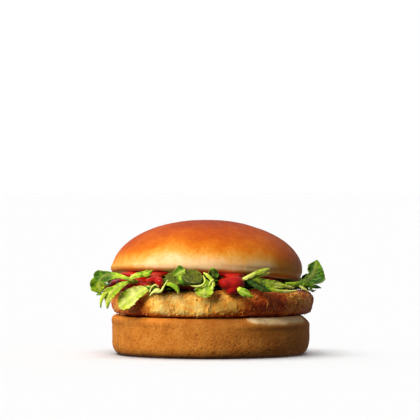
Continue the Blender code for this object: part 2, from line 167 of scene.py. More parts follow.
# ---------------------------------------------------------------- mesh helpers
def mesh_object(name, verts, faces, mat, node=None, slot=None, attrs=None,
                ride=True):
    """Object from millimetre points and a list of index arrays (n,3) or (n,4)."""
    me = bpy.data.meshes.new(name)
    verts = np.ascontiguousarray(verts, dtype=np.float64).reshape(-1, 3)
    faces = [np.ascontiguousarray(f, dtype=np.int32) for f in faces if len(f)]
    loops = np.concatenate([f.ravel() for f in faces])
    sizes = np.concatenate([np.full(len(f), f.shape[1], dtype=np.int32) for f in faces])
    starts = np.concatenate([[0], np.cumsum(sizes)[:-1]]).astype(np.int32)
    me.vertices.add(len(verts))
    me.vertices.foreach_set("co", (verts * MM).astype(np.float32).ravel())
    me.loops.add(len(loops))
    me.loops.foreach_set("vertex_index", loops)
    me.polygons.add(len(starts))
    me.polygons.foreach_set("loop_start", starts)
    me.update(calc_edges=True)
    me.validate()
    for key, values in (attrs or {}).items():
        layer = me.attributes.new(key, "FLOAT", "POINT")
        layer.data.foreach_set("value", np.asarray(values, dtype=np.float32).ravel())
    me.materials.append(mat)
    me.shade_smooth()
    obj = bpy.data.objects.new(name, me)
    bpy.context.scene.collection.objects.link(obj)
    if ride:
        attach(obj, "root")
        if node:
            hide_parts(*([node] if isinstance(node, str) else node))
    return obj


def grid_normals(p, wrap):
    """Unit normals of a grid of points (rows, columns), columns may wrap."""
    du = np.gradient(p, axis=0)
    if wrap:
        dv = np.roll(p, -1, axis=1) - np.roll(p, 1, axis=1)
    else:
        dv = np.gradient(p, axis=1)
    n = np.cross(dv, du)
    return n / np.maximum(np.linalg.norm(n, axis=-1, keepdims=True), 1e-12)


def ring_faces(rows, cols, offset=0):
    i = np.arange(rows - 1)[:, None] * cols
    j = np.arange(cols)[None, :]
    k = (j + 1) % cols
    return (np.stack([i + j, i + k, i + cols + k, i + cols + j], -1)
            .reshape(-1, 4) + offset)


def turned_object(name, rows, mat, low_pole, high_pole, attrs=None, **kw):
    """Closed body from rings (rows, columns, 3) running from below upwards."""
    m, n = rows.shape[:2]
    verts = np.concatenate([rows.reshape(-1, 3), [low_pole], [high_pole]])
    j = np.arange(n)
    k = (j + 1) % n
    low = np.stack([np.full(n, m * n), k, j], -1)
    high = np.stack([np.full(n, m * n + 1), (m - 1) * n + j, (m - 1) * n + k], -1)
    full = {}
    for key, v in (attrs or {}).items():
        full[key] = np.concatenate([v.ravel(), [v[0].mean()], [v[-1].mean()]])
    return mesh_object(name, verts, [ring_faces(m, n), low, high], mat,
                       attrs=full, **kw)


def plate(p, normals, thickness, both=True):
    """Closed plate from a grid of mid-surface points; returns verts, faces."""
    rows, cols = p.shape[:2]
    half = (thickness / 2)[..., None] * normals
    top, bottom = p + half, p - half
    verts = np.concatenate([top.reshape(-1, 3), bottom.reshape(-1, 3)])
    i = np.arange(rows - 1)[:, None] * cols
    j = np.arange(cols - 1)[None, :]
    quad = np.stack([i + j, i + j + 1, i + cols + j + 1, i + cols + j], -1).reshape(-1, 4)
    size = rows * cols
    edge = np.concatenate([np.arange(cols), np.arange(1, rows) * cols + cols - 1,
                           (rows - 1) * cols + np.arange(cols - 2, -1, -1),
                           np.arange(rows - 2, 0, -1) * cols])
    nxt = np.roll(edge, -1)
    wall = np.stack([edge, edge + size, nxt + size, nxt], -1)
    return verts, [quad, quad[:, ::-1] + size, wall]


# ------------------------------------------------------------- material helpers
class Look:
    """A Principled material and short names for its nodes."""

    def __init__(self, name, roughness=0.5, **sockets):
        self.mat = bpy.data.materials.new(name)
        self.mat.use_nodes = True
        self.tree = self.mat.node_tree
        self.shader = self.tree.nodes["Principled BSDF"]
        self.shader.inputs["Roughness"].default_value = roughness
        for key, value in sockets.items():
            self.shader.inputs[key.replace("_", " ")].default_value = value
        self.coord = self.tree.nodes.new("ShaderNodeTexCoord")

    def new(self, kind, **props):
        node = self.tree.nodes.new(kind)
        for key, value in props.items():
            setattr(node, key, value)
        return node

    def put(self, value, socket):
        if isinstance(value, bpy.types.NodeSocket):
            self.tree.links.new(value, socket)
        elif hasattr(value, "__len__") and len(value) == 3 and socket.type == "RGBA":
            socket.default_value = (*value, 1.0)
        else:
            socket.default_value = value

    def attr(self, name):
        return self.new("ShaderNodeAttribute", attribute_name=name).outputs["Fac"]

    def noise(self, size, detail=3.0, rough=0.55, stretch=None, distortion=0.0):
        """Noise 0..1 with features of the given size in millimetres."""
        node = self.new("ShaderNodeTexNoise")
        node.inputs["Scale"].default_value = 1000.0 / size
        node.inputs["Detail"].default_value = detail
        node.inputs["Roughness"].default_value = rough
        node.inputs["Distortion"].default_value = distortion
        self.put(self.place(stretch), node.inputs["Vector"])
        return node.outputs["Fac"]

    def place(self, stretch=None):
        if stretch is None:
            return self.coord.outputs["Object"]
        node = self.new("ShaderNodeMapping")
        node.inputs["Scale"].default_value = stretch
        self.tree.links.new(self.coord.outputs["Object"], node.inputs["Vector"])
        return node.outputs["Vector"]

    def cell(self, size, feature="F1"):
        node = self.new("ShaderNodeTexVoronoi", feature=feature)
        node.inputs["Scale"].default_value = 1000.0 / size
        self.tree.links.new(self.coord.outputs["Object"], node.inputs["Vector"])
        return node

    def math(self, op, a, b=0.0, clamp=False):
        node = self.new("ShaderNodeMath", operation=op, use_clamp=clamp)
        self.put(a, node.inputs[0])
        self.put(b, node.inputs[1])
        return node.outputs[0]

    def span(self, value, a, b, c=0.0, d=1.0):
        node = self.new("ShaderNodeMapRange", interpolation_type="SMOOTHSTEP")
        self.put(value, node.inputs["Value"])
        for key, v in (("From Min", a), ("From Max", b), ("To Min", c), ("To Max", d)):
            node.inputs[key].default_value = v
        return node.outputs["Result"]

    def mix(self, fac, a, b, blend="MIX"):
        node = self.new("ShaderNodeMix", data_type="RGBA", blend_type=blend)
        self.put(fac, node.inputs[0])
        self.put(a, node.inputs[6])
        self.put(b, node.inputs[7])
        return node.outputs[2]

    def ramp(self, fac, *stops):
        node = self.new("ShaderNodeValToRGB")
        ramp = node.color_ramp
        while len(ramp.elements) < len(stops):
            ramp.elements.new(0.5)
        for e, (pos, colour) in zip(ramp.elements, stops):
            e.position = pos
            e.color = (*colour, 1.0)
        self.put(fac, node.inputs["Fac"])
        return node.outputs["Color"]

    def colour(self, value):
        self.put(value, self.shader.inputs["Base Color"])

    def rough(self, value):
        self.put(value, self.shader.inputs["Roughness"])

    def bump(self, height, distance_mm, strength=1.0, normal=None):
        node = self.new("ShaderNodeBump")
        node.inputs["Strength"].default_value = strength
        node.inputs["Distance"].default_value = distance_mm * MM
        self.put(height, node.inputs["Height"])
        if normal is not None:
            self.put(normal, node.inputs["Normal"])
        self.put(node.outputs["Normal"], self.shader.inputs["Normal"])
        return node.outputs["Normal"]


# ------------------------------------------------------------------- materials
def crown_look():
    k = Look("bun_crust_glazed", 0.42, Specular_IOR_Level=0.11,
             Subsurface_Weight=0.04, Subsurface_Scale=0.001)
    k.shader.inputs["Subsurface Radius"].default_value = (1.0, 0.45, 0.2)
    # baked crust colour together with painted shade on the side away from the key light, a painted highlight low
    # on the front left and a painted reflection low on the front right
    bake = k.attr("bake")
    blotch = k.noise(9.0, 3, 0.6)
    fine = k.noise(1.6, 3, 0.6)
    streak = k.noise(2.2, 2, 0.5, stretch=(1, 1, 0.16))
    b = k.math("ADD", bake, k.span(blotch, 0.25, 0.75, -0.07, 0.07))
    b = k.math("ADD", b, k.span(fine, 0.25, 0.75, -0.05, 0.05))
    b = k.math("ADD", b, k.span(streak, 0.3, 0.7, -0.03, 0.03))
    c = k.ramp(b,
               (0.00, (0.90, 0.56, 0.26)),
               (0.15, (0.83, 0.41, 0.110)),
               (0.32, (0.70, 0.275, 0.032)),
               (0.54, (0.60, 0.142, 0.005)),
               (0.80, (0.46, 0.068, 0.002)),
               (1.00, (0.34, 0.040, 0.002)))
    crumb = k.mix(k.span(k.noise(1.3, 4, 0.65), 0.35, 0.65),
                  (0.78, 0.56, 0.30), (0.90, 0.74, 0.48))
    crumb = k.mix(k.span(k.noise(6.0, 3, 0.6), 0.5, 0.7), crumb, (0.70, 0.42, 0.16))
    c = k.mix(k.attr("cut"), c, crumb)
    k.colour(c)
    k.rough(k.math("ADD", k.span(k.noise(3.0, 4, 0.6), 0.3, 0.7, 0.38, 0.54),
                   k.math("MULTIPLY", k.attr("cut"), 0.4), clamp=True))
    pores = k.span(k.cell(0.9).outputs["Distance"], 0.0, 0.45)
    n = k.bump(pores, 0.02, 0.6)
    k.bump(k.noise(0.8, 4, 0.6), 0.05, 0.6, n)
    return k.mat


def heel_look():
    k = Look("bun_crust_matte", 0.7, Specular_IOR_Level=0.3,
             Subsurface_Weight=0.05, Subsurface_Scale=0.0015)
    k.shader.inputs["Subsurface Radius"].default_value = (1.0, 0.45, 0.2)
    blotch = k.noise(7.0, 4, 0.6)
    fine = k.noise(1.1, 4, 0.65)
    tan = k.ramp(k.math("ADD", k.math("MULTIPLY", blotch, 0.6),
                        k.math("MULTIPLY", fine, 0.4)),
                 (0.30, (0.36, 0.098, 0.010)),
                 (0.48, (0.52, 0.165, 0.018)),
                 (0.68, (0.66, 0.255, 0.040)))
    pit = k.attr("pit")
    # darker in the pits, partly crust colour and partly painted shade in the hollows; the same mask carries a
    # painted shadow of the patty along the top at the front
    c = k.mix(k.span(pit, 0.08, 0.7, 0.0, 0.62), tan, (0.17, 0.038, 0.005))
    c = k.mix(k.attr("foot"), c, (0.20, 0.050, 0.010))
    band = k.math("ADD", k.attr("band"), k.span(k.noise(3.0, 3, 0.6), 0.3, 0.7, -0.12, 0.12))
    warm = k.mix(k.span(band, 0.05, 0.5), c, (0.68, 0.26, 0.050))
    pale = k.mix(k.span(fine, 0.35, 0.65), (0.95, 0.58, 0.25), (1.0, 0.76, 0.42))
    c = k.mix(k.span(band, 0.35, 0.9), warm, pale)
    k.colour(c)
    k.rough(k.span(k.noise(2.0, 4, 0.6), 0.3, 0.7, 0.62, 0.82))
    pores = k.span(k.cell(0.75).outputs["Distance"], 0.05, 0.5)
    n = k.bump(pores, 0.06, 0.8)
    k.bump(k.noise(0.7, 5, 0.65), 0.09, 0.8, n)
    return k.mat


def breading_look(name="chicken_breading"):
    k = Look(name, 0.5, Specular_IOR_Level=0.35,
             Subsurface_Weight=0.08, Subsurface_Scale=0.0012)
    k.shader.inputs["Subsurface Radius"].default_value = (1.0, 0.4, 0.15)
    brown = k.attr("brown")
    fine = k.noise(0.9, 4, 0.65)
    mid = k.noise(2.6, 3, 0.6)
    b = k.math("ADD", brown, k.span(fine, 0.3, 0.7, -0.14, 0.14))
    b = k.math("ADD", b, k.span(mid, 0.3, 0.7, -0.12, 0.12))
    c = k.ramp(b,
               (0.00, (1.00, 0.70, 0.22)),
               (0.22, (1.00, 0.56, 0.100)),
               (0.42, (0.93, 0.37, 0.038)),
               (0.62, (0.74, 0.155, 0.010)),
               (0.82, (0.56, 0.066, 0.006)),
               (1.00, (0.34, 0.032, 0.003)))
    # painted shade: darker in the low hollows between the crags
    c = k.mix(k.span(k.attr("relief"), 0.40, 0.0, 0.0, 0.45), c, (0.62, 0.22, 0.06), "MULTIPLY")
    # paler on the raised lumps: partly paler crumb, partly painted highlight
    c = k.mix(k.span(k.attr("relief"), 0.62, 1.0, 0.0, 0.55), c, (0.97, 0.66, 0.26))
    k.colour(c)
    k.rough(k.span(k.noise(1.6, 3, 0.6), 0.3, 0.7, 0.34, 0.7))
    n = k.bump(k.span(k.cell(0.8).outputs["Distance"], 0.0, 0.6), 0.05, 0.5)
    k.bump(k.noise(0.45, 4, 0.6), 0.05, 0.5, n)
    return k.mat


def ketchup_look():
    k = Look("ketchup_wet", 0.12, Specular_IOR_Level=0.45,
             Subsurface_Weight=0.10, Subsurface_Scale=0.001,
             Coat_Weight=0.15, Coat_Roughness=0.05)
    k.shader.inputs["Subsurface Radius"].default_value = (1.0, 0.1, 0.05)
    c = k.ramp(k.noise(3.2, 3, 0.55),
               (0.30, (0.26, 0.004, 0.003)),
               (0.55, (0.44, 0.008, 0.005)),
               (0.78, (0.56, 0.018, 0.008)))
    k.colour(c)
    k.rough(k.span(k.noise(2.4, 3, 0.55), 0.35, 0.7, 0.08, 0.26))
    k.bump(k.noise(1.8, 2, 0.5), 0.07, 0.6)
    return k.mat


def pickle_look():
    k = Look("pickle_flesh", 0.22, Specular_IOR_Level=0.45,
             Subsurface_Weight=0.12, Subsurface_Scale=0.0015)
    k.shader.inputs["Subsurface Radius"].default_value = (0.6, 0.8, 0.2)
    flesh = k.ramp(k.noise(2.4, 3, 0.6),
                   (0.32, (0.034, 0.044, 0.006)),
                   (0.50, (0.095, 0.108, 0.005)),
                   (0.72, (0.190, 0.190, 0.008)))
    c = k.mix(k.attr("rim"), flesh, (0.055, 0.085, 0.012))
    c = k.mix(k.attr("pale"), c, (0.24, 0.27, 0.06))
    k.colour(c)
    k.rough(k.span(k.noise(1.8, 3, 0.55), 0.35, 0.7, 0.14, 0.34))
    k.bump(k.noise(1.0, 3, 0.5), 0.06, 0.4)
    return k.mat


def lettuce_look():
    k = Look("lettuce_leaf", 0.4, Specular_IOR_Level=0.34,
             Subsurface_Weight=0.12, Subsurface_Scale=0.001)
    k.shader.inputs["Subsurface Radius"].default_value = (0.5, 0.9, 0.15)
    tone = k.attr("tone")
    t = k.math("ADD", tone, k.span(k.noise(4.0, 3, 0.6), 0.3, 0.7, -0.16, 0.16))
    t = k.math("ADD", t, k.span(k.noise(1.2, 3, 0.6), 0.3, 0.7, -0.07, 0.07))
    blade = k.ramp(t,
                   (0.00, (0.014, 0.050, 0.007)),
                   (0.25, (0.050, 0.150, 0.008)),
                   (0.50, (0.215, 0.385, 0.007)),
                   (0.75, (0.500, 0.620, 0.020)),
                   (1.00, (0.860, 0.880, 0.260)))
    c = k.mix(k.attr("rib"), blade, (0.70, 0.72, 0.14))
    c = k.mix(k.span(k.attr("vein"), 0.2, 1.0, 0.0, 0.55), c, (0.46, 0.58, 0.13))
    k.colour(c)
    k.rough(k.span(k.noise(2.0, 3, 0.55), 0.3, 0.7, 0.34, 0.58))
    n = k.bump(k.attr("vein"), 0.10, 0.6)
    k.bump(k.noise(0.9, 3, 0.6), 0.05, 0.5, n)
    return k.mat


# ---------------------------------------------------------------------- the bun
def turned_rows(profile, cols):
    """Rings from a fine profile of (radius, height) pairs."""
    a = np.linspace(0, 2 * PI, cols, endpoint=False)
    pr = np.array(profile)
    x = pr[:, 0:1] * np.cos(a)[None, :]
    y = pr[:, 0:1] * np.sin(a)[None, :]
    s = np.repeat(pr[:, 1:2], cols, axis=1)
    return x, y, s, np.repeat(a[None, :], len(pr), axis=0)


def build_crown():
    rim, R, cols = CROWN_EDGE_ROUND, CROWN_RADIUS, 440
    profile = [(r, 0.0) for r in np.linspace(1.5, R - rim, 22)]
    for i in range(1, 11):
        a = PI / 2 * i / 10
        profile.append((R - rim * (1 - math.sin(a) ** 0.8), 1 - math.cos(a) ** 0.8))
    for i in range(1, 92):
        a = PI / 2 * i / 92
        h = math.sin(a) ** 1.06
        profile.append((R * (1 - h ** CROWN_DOME_POWER) ** (1 / CROWN_DOME_POWER), 1 + h))
    x, y, s, a = turned_rows(profile, cols)
    f = 1.0 + 0.003 * np.sin(2 * a + 1.0) + 0.002 * np.sin(3 * a)
    x, y = x * f + CROWN_CENTRE_X, y * f
    cut = crown_cut(x, y)
    h = np.clip(s - 1.0, 0, 1)
    z = np.where(s <= 1.0, cut + s * rim, (cut + rim) * (1 - h) + CROWN_APEX_Z * h)
    p = np.stack([x + CROWN_APEX_SHIFT * h + CROWN_SHOULDER * np.sin(PI * h ** 0.6), y, z], -1)
    n = grid_normals(p, True)
    crust = smooth(0.02, 0.35, s)
    # broad unevenness, a soft waist near the cut, fine puckers low on the side
    d = 0.42 * fbm(p, 26.0, 2, 5) + 0.10 * fbm(p, 7.0, 3, 9)
    side = np.stack([p[..., 0], p[..., 1], p[..., 2] * 0.16], -1)
    pucker = fbm(side, 2.6, 3, 21)
    low = crust * (1 - smooth(1.05, 1.55, s))
    d = d + low * (0.11 * pucker - 0.16 * np.exp(-((s - 1.14) / 0.07) ** 2)
                   * (0.5 + 0.5 * noise(p, 13.0, 31)))
    d = d + 0.02 * fbm(p, 1.3, 2, 33)
    # open crumb on the cut face
    hole, _ = cells(p, 2.3, 41)
    crumbs = (1 - crust) * (0.30 * fbm(p, 2.0, 3, 43) - 0.5 * (1 - smooth(0.1, 0.5, hole)))
    keep_flat = smooth(0.0, 0.05, s)
    p = p + n * (d * np.maximum(crust, keep_flat) - np.abs(crumbs) * 0.0)[..., None]
    p[..., 2] += np.maximum(-crumbs, 0.0) * 0.6 * (1 - crust)
    # baking: pale along the lower side, darkest over the top; darker again on the side away from the key light,
    # partly baking and partly painted shade; a painted highlight low on the front left and a painted reflection
    # low on the front right
    ang = np.arctan2(p[..., 1], p[..., 0] - CROWN_CENTRE_X)
    # darker low on the side away from the key light: partly deeper baking, partly painted shade
    swing = 0.5 - 0.5 * np.cos(ang + math.radians(128))
    up = np.where(s < 1, 0.0, h)
    bake = 0.05 + 1.10 * up ** 0.92 - 0.10
    bake = bake + 0.58 * swing ** 1.1 * (1 - smooth(0.2, 0.9, up))
    far_left = smooth(0.55, 0.98, np.cos(ang - math.radians(-172)))
    bake = bake + 0.34 * far_left * (1 - smooth(0.3, 0.9, up))
    # paler low on the front left, facing the key light: partly paler crust, partly painted highlight
    bake = bake - 0.10 * np.exp(-((up - 0.16) / 0.16) ** 2) * smooth(0.3, 0.95, np.cos(ang - math.radians(-112)))
    # painted reflection: a pale patch low on the front right where light from the right falls
    bake = bake - 0.26 * (np.exp(-((ang + math.radians(51)) / math.radians(9)) ** 2)
                          * np.exp(-((up - 0.08) / 0.09) ** 2))
    bake = bake + 0.10 * fbm(p, 22.0, 2, 51) + 0.05 * fbm(p, 6.0, 3, 53)
    # thin darker line where crust meets the cut
    bake = bake + 0.24 * np.exp(-((s - 0.30) / 0.22) ** 2)
    attrs = {"bake": np.clip(bake, 0, 1.05), "cut": 1 - smooth(0.04, 0.22, s + 0.03 * noise(p, 2.0, 57))}
    low_pole = [CROWN_CENTRE_X, 0, crown_cut(CROWN_CENTRE_X, 0.0)]
    high_pole = [CROWN_CENTRE_X + CROWN_APEX_SHIFT, 0, p[-1, :, 2].mean() + 0.002]
    return turned_object("bun_crown", p, crown_look(), low_pole, high_pole,
                         node="top_bun", slot="bun_crown", attrs=attrs)


def build_heel():
    cols = 700
    R, F, H = HEEL_RADIUS, HEEL_FOOT_RADIUS, HEEL_HEIGHT
    profile = [(r, 0.0) for r in np.linspace(1.5, F, 14)]
    for i in range(1, 15):
        a = PI / 2 * i / 14
        profile.append((F + (R - F) * math.sin(a) ** 0.9, HEEL_FOOT_ROUND * (1 - math.cos(a))))
    for z in np.linspace(HEEL_FOOT_ROUND, H - HEEL_TOP_ROUND, 22)[1:-1]:
        profile.append((R, z))
    for i in range(0, 14):
        a = PI / 2 * i / 13
        profile.append((R - HEEL_TOP_INSET * (1 - math.cos(a)),
                        H - HEEL_TOP_ROUND * (1 - math.sin(a))))
    profile += [(r, H) for r in np.linspace(R - HEEL_TOP_INSET, 1.5, 14)[1:]]
    x, y, z, a = turned_rows(profile, cols)
    r = np.hypot(x, y)
    rise = np.maximum(0.0, (z - (H - HEEL_TOP_ROUND)) / HEEL_TOP_ROUND)
    inset = HEEL_TOP_INSET_SWING * x / r * rise * np.minimum(1.0, r / R)
    wob = 1.0 + 0.003 * np.sin(3 * a + 0.7) + 0.002 * np.sin(5 * a)
    nr = (r - inset) * wob
    p = np.stack([x / r * nr, y / r * nr, z], -1)
    n = grid_normals(p, True)
    side = smooth(F - 3.0, F + 1.0, r)
    d = 0.30 * fbm(p, 22.0, 2, 105) + 0.10 * fbm(p, 5.0, 3, 109) + 0.035 * fbm(p, 1.3, 3, 111)
    # pits, denser towards the foot and on the left
    dense = smooth(18.0, 6.0, p[..., 2] + 3.0 * noise(p, 9.0, 115) + 0.05 * p[..., 0])
    c1, t1 = cells(p, 1.05, 121)
    c2, t2 = cells(p, 0.8, 131)
    pit = (np.maximum(0, 1 - c1 / 0.42) ** 0.8 * (t1 < 0.22 + 0.78 * dense)
           + 0.8 * np.maximum(0, 1 - c2 / 0.45) ** 0.8 * (t2 < 0.05 + 0.75 * dense))
    pit = np.clip(pit, 0, 1.2)
    d = d - 0.26 * pit + 0.45 * smooth(0.55, 0.95, np.cos(np.arctan2(p[..., 1], p[..., 0]))) * smooth(4, 8, p[..., 2]) * smooth(19, 15, p[..., 2])
    # the crust ends in a soft step under the pale upper edge
    ang = np.arctan2(p[..., 1], p[..., 0])
    where = (smooth(0.84, 0.985, np.cos(ang - math.radians(-42)) + 0.03 * noise(p, 5.0, 145))
             + 0.6 * smooth(0.5, 0.9, np.cos(ang - math.radians(110))))
    edge_z = 16.0 + 3.4 * (1 - np.clip(where, 0, 1)) + 0.5 * noise(p, 8.0, 141) + 0.2 * noise(p, 2.6, 143)
    band = smooth(edge_z - 2.0, edge_z + 1.8, p[..., 2]) * smooth(0.0, 0.85, where)
    d = d + (0.75 * smooth(0.80, 0.97, np.cos(ang - math.radians(-42))) * smooth(13.0, 17.5, p[..., 2])) * side
    p = p + n * (d * side)[..., None]
    p[..., 2] = np.clip(p[..., 2], 0.0, H + 0.1)
    foot = np.clip(smooth(1.9, 0.3, p[..., 2] + 0.5 * noise(p, 4.0, 151)) * (0.9 + 0.1 * side), 0, 1)
    # painted shadow: the top of the heel darkened across the front middle, under the patty's overhang
    under = 0.42 * smooth(13.5, 18.5, p[..., 2]) * (1 - np.clip(where, 0, 1)) * smooth(-0.75, -0.1, np.cos(ang))
    attrs = {"pit": np.maximum(pit * side, under), "band": band, "foot": foot}
    return turned_object("bun_heel", p, heel_look(), [0, 0, 0], [0, 0, H],
                         node="bottom_bun", slot="bun_heel", attrs=attrs)


# ------------------------------------------------------------------- the patty
def patty_profile(v):
    """Profile at v: 0..1 underside outward, 1..2 round the edge, 2..3 top inward.

    Returns the radius as a share and the height share, -1 bottom to 1 top."""
    R, E = PATTY_RADIUS, PATTY_EDGE_ROUND
    half = 0.5 * (PATTY_TOP - PATTY_BOTTOM)
    a = (np.clip(v - 1, 0, 1) - 0.5) * PI
    r = np.where(v < 1, 1.5 + (R - E - 1.5) * v,
                 np.where(v > 2, R - E - (R - E - 1.5) * (v - 2), R - E * (1 - np.cos(a))))
    s = np.where(v < 1, -1.0, np.where(v > 2, 1.0,
                 np.sign(a) * (half - E + E * np.abs(np.sin(a))) / half
                 * smooth(0.0, 0.06, np.abs(a)) ** 0.5))
    # a straight upright stretch between the two roundings
    flat = np.abs(a) < 0.10
    s = np.where((v > 1) & (v < 2) & flat, a / 0.10 * (half - E) / half * 1.02, s)
    return r, s


def patty_surface(angle, v):
    r, s = patty_profile(v)
    mid = 0.5 * (PATTY_BOTTOM + PATTY_TOP)
    half = 0.5 * (PATTY_TOP - PATTY_BOTTOM)
    f = patty_radius(angle) / PATTY_RADIUS
    x = r * np.cos(angle) * f + PATTY_CENTRE_X
    y = r * np.sin(angle) * f
    z = np.where(s > 0, mid + s * (patty_top(x, y) - mid), mid + s * half)
    tuck = 1 - 0.030 * smooth(0.15, -1.0, s) * (0.35 + 0.65 * smooth(0.2, -0.9, np.cos(angle))
                                             + 0.9 * smooth(0.6, 0.95, np.cos(angle - math.radians(-45))))
    x, y = (x - PATTY_CENTRE_X) * tuck + PATTY_CENTRE_X, y * tuck
    # the soft rim hangs a little over the heel's rounded edge
    z = z - (1.0 * smooth(46.0, 50.5, np.hypot(x, y)) * smooth(0.1, -0.7, s)
             * (1 - 0.9 * smooth(0.6, 0.95, np.cos(angle - math.radians(-45)))))
    return np.stack([x, y, z], -1)


def browning(p):
    """Where the breading is dark: patches, and the whole of one side; that side, away from the key light, is
    partly darker frying and partly painted shade, and a paler spot at the front left of centre is partly lighter
    frying and partly painted highlight.
    """
    ang = np.arctan2(p[..., 1], p[..., 0])
    # darker all along the side away from the key light: partly darker frying, partly painted shade
    one_side = smooth(-0.1, 0.75, np.cos(ang - math.radians(-22)))
    other = 0.45 * smooth(0.45, 0.95, np.cos(ang - math.radians(100)))
    b = (0.20 + 0.46 * one_side + other + 0.34 * fbm(p, 13.0, 3, 205)
         + 0.16 * fbm(p, 4.0, 2, 207))
    b = b + 0.22 * smooth(2.2, 0.2, p[..., 2] - PATTY_BOTTOM)
    b = b + 0.42 * smooth(0.60, 0.92, np.cos(ang - math.radians(-165)))
    # paler at the front left of centre, where the key light falls: partly lighter frying, partly painted
    # highlight
    b = b - 0.10 * smooth(0.80, 0.97, np.cos(ang - math.radians(-108)))
    return b


def patty_relief(p):
    """Height of crags and crumbs over the smooth patty, in millimetres."""
    big = fbm(p, 9.0, 3, 211)
    c1, t1 = cells(p + 0.5 * np.stack([noise(p, 1.5, 1), noise(p, 1.5, 2), noise(p, 1.5, 3)], -1), 2.5, 221)
    c2, t2 = cells(p, 1.35, 231)
    lumps = smooth(0.72, 0.1, c1) * (0.35 + 0.65 * t1)
    grains = smooth(0.70, 0.15, c2) * (t2 > 0.35) * (0.4 + 0.6 * t2)
    rough = fbm(p, 1.0, 3, 241)
    patchy = smooth(-0.25, 0.35, fbm(p, 7.0, 2, 251))
    swell = fbm(p, 5.0, 2, 261)
    return (0.36 * big + 0.30 * swell + 0.26 * lumps * (0.45 + 0.55 * patchy)
            + 0.24 * grains * (0.3 + 0.7 * patchy) + 0.15 * rough - 0.25)


def build_patty(mat):
    cols = 860
    v = np.concatenate([np.linspace(0, 0.90, 8)[1:], np.linspace(0.90, 1.0, 7)[1:],
                        np.linspace(1.0, 2.0, 46)[1:-1], np.linspace(2.0, 2.22, 18),
                        np.linspace(2.22, 3.0, 10)[1:]])
    ang = np.linspace(0, 2 * PI, cols, endpoint=False)
    V, A = np.meshgrid(v, ang, indexing="ij")
    p = patty_surface(A, V)
    n = grid_normals(p, True)
    rel = patty_relief(p)
    under = smooth(1.0, 1.12, V)
    p2 = p + n * (rel * (0.25 + 0.75 * under))[..., None]
    fall = np.clip((np.hypot(p2[..., 0], p2[..., 1]) - 46.6) / 3.6, 0, 1)
    rest = HEEL_HEIGHT - HEEL_TOP_ROUND * (1 - np.sqrt(1 - fall ** 2))
    p2[..., 2] = np.maximum(p2[..., 2], rest + 0.12)
    # relief sets the breading's painted shade in hollows and painted highlight on lumps
    attrs = {"brown": browning(p), "relief": np.clip(0.45 + 0.62 * rel, 0, 1)}
    low = [PATTY_CENTRE_X, 0, PATTY_BOTTOM]
    high = [PATTY_CENTRE_X, 0, p2[-1, :, 2].mean()]
    return turned_object("patty", p2, mat, low, high, node="chicken_patty",
                         slot="breading", attrs=attrs)


ICO_V = None


def icosahedron():
    t = (1 + 5 ** 0.5) / 2
    v = np.array([(-1, t, 0), (1, t, 0), (-1, -t, 0), (1, -t, 0), (0, -1, t), (0, 1, t),
                  (0, -1, -t), (0, 1, -t), (t, 0, -1), (t, 0, 1), (-t, 0, -1), (-t, 0, 1)])
    f = np.array([(0, 11, 5), (0, 5, 1), (0, 1, 7), (0, 7, 10), (0, 10, 11), (1, 5, 9),
                  (5, 11, 4), (11, 10, 2), (10, 7, 6), (7, 1, 8), (3, 9, 4), (3, 4, 2),
                  (3, 2, 6), (3, 6, 8), (3, 8, 9), (4, 9, 5), (2, 4, 11), (6, 2, 10),
                  (8, 6, 7), (9, 8, 1)])
    return v / np.linalg.norm(v[0]), f


def build_crumbs(mat):
    """Loose breadcrumbs caught on the breading, each its own lump."""
    rng = np.random.default_rng(11)
    base, tri = icosahedron()
    verts, faces, brown, relief = [], [], [], []
    count = 1900
    ang = rng.uniform(0, 2 * PI, count)
    v = np.clip(rng.normal(1.62, 0.30, count), 1.08, 2.12)
    p = patty_surface(ang, v)
    eps = 1e-3
    n = np.cross(patty_surface(ang + eps, v) - p, patty_surface(ang, v + eps) - p)
    n /= np.linalg.norm(n, axis=1, keepdims=True)
    rel = patty_relief(p)
    dark = browning(p)
    for i in range(count):
        size = 0.16 + 0.40 * rng.random() ** 3.0
        shape = rng.uniform(0.6, 1.25, 3) * size
        q = base * (1 + rng.uniform(-0.22, 0.22, (12, 1)))
        rot = np.linalg.qr(rng.normal(size=(3, 3)))[0]
        if np.linalg.det(rot) < 0:
            rot[:, 0] *= -1
        q = (q * shape) @ rot.T
        q = q + p[i] + n[i] * (rel[i] + 0.20 * size)
        verts.append(q)
        faces.append(tri + 12 * i)
        brown.append(np.full(12, dark[i] + rng.uniform(-0.25, 0.22)))
        # each crumb's random relief sets its painted shade and painted highlight in the breading colour
        relief.append(np.full(12, rng.uniform(0.45, 0.95)))
    return mesh_object("breadcrumbs", np.concatenate(verts), [np.concatenate(faces)], mat,
                       slot="breading",
                       attrs={"brown": np.concatenate(brown), "relief": np.concatenate(relief)})


def tube(path, radius, sides=7):
    """Closed tapered tube along points (n,3) with radii (n,)."""
    path = np.asarray(path)
    t = np.gradient(path, axis=0)
    t /= np.linalg.norm(t, axis=1, keepdims=True)
    ref = np.array([0.31, 0.22, 0.93])
    b = np.cross(t, ref)
    b /= np.linalg.norm(b, axis=1, keepdims=True)
    n = np.cross(b, t)
    a = np.linspace(0, 2 * PI, sides, endpoint=False)
    ring = (path[:, None] + radius[:, None, None]
            * (np.cos(a)[None, :, None] * b[:, None] + np.sin(a)[None, :, None] * n[:, None]))
    m = len(path)
    verts = np.concatenate([ring.reshape(-1, 3), path[:1], path[-1:]])
    j = np.arange(sides)
    k = (j + 1) % sides
    i = np.arange(m - 1)[:, None] * sides
    quad = np.stack([i + j, i + k, i + sides + k, i + sides + j], -1).reshape(-1, 4)
    # orient outwards: b x n turns with t
    low = np.stack([np.full(sides, m * sides), k, j], -1)
    high = np.stack([np.full(sides, m * sides + 1), (m - 1) * sides + j, (m - 1) * sides + k], -1)
    quad = quad[:, ::-1]
    return verts, quad, np.concatenate([low[:, ::-1], high[:, ::-1]])


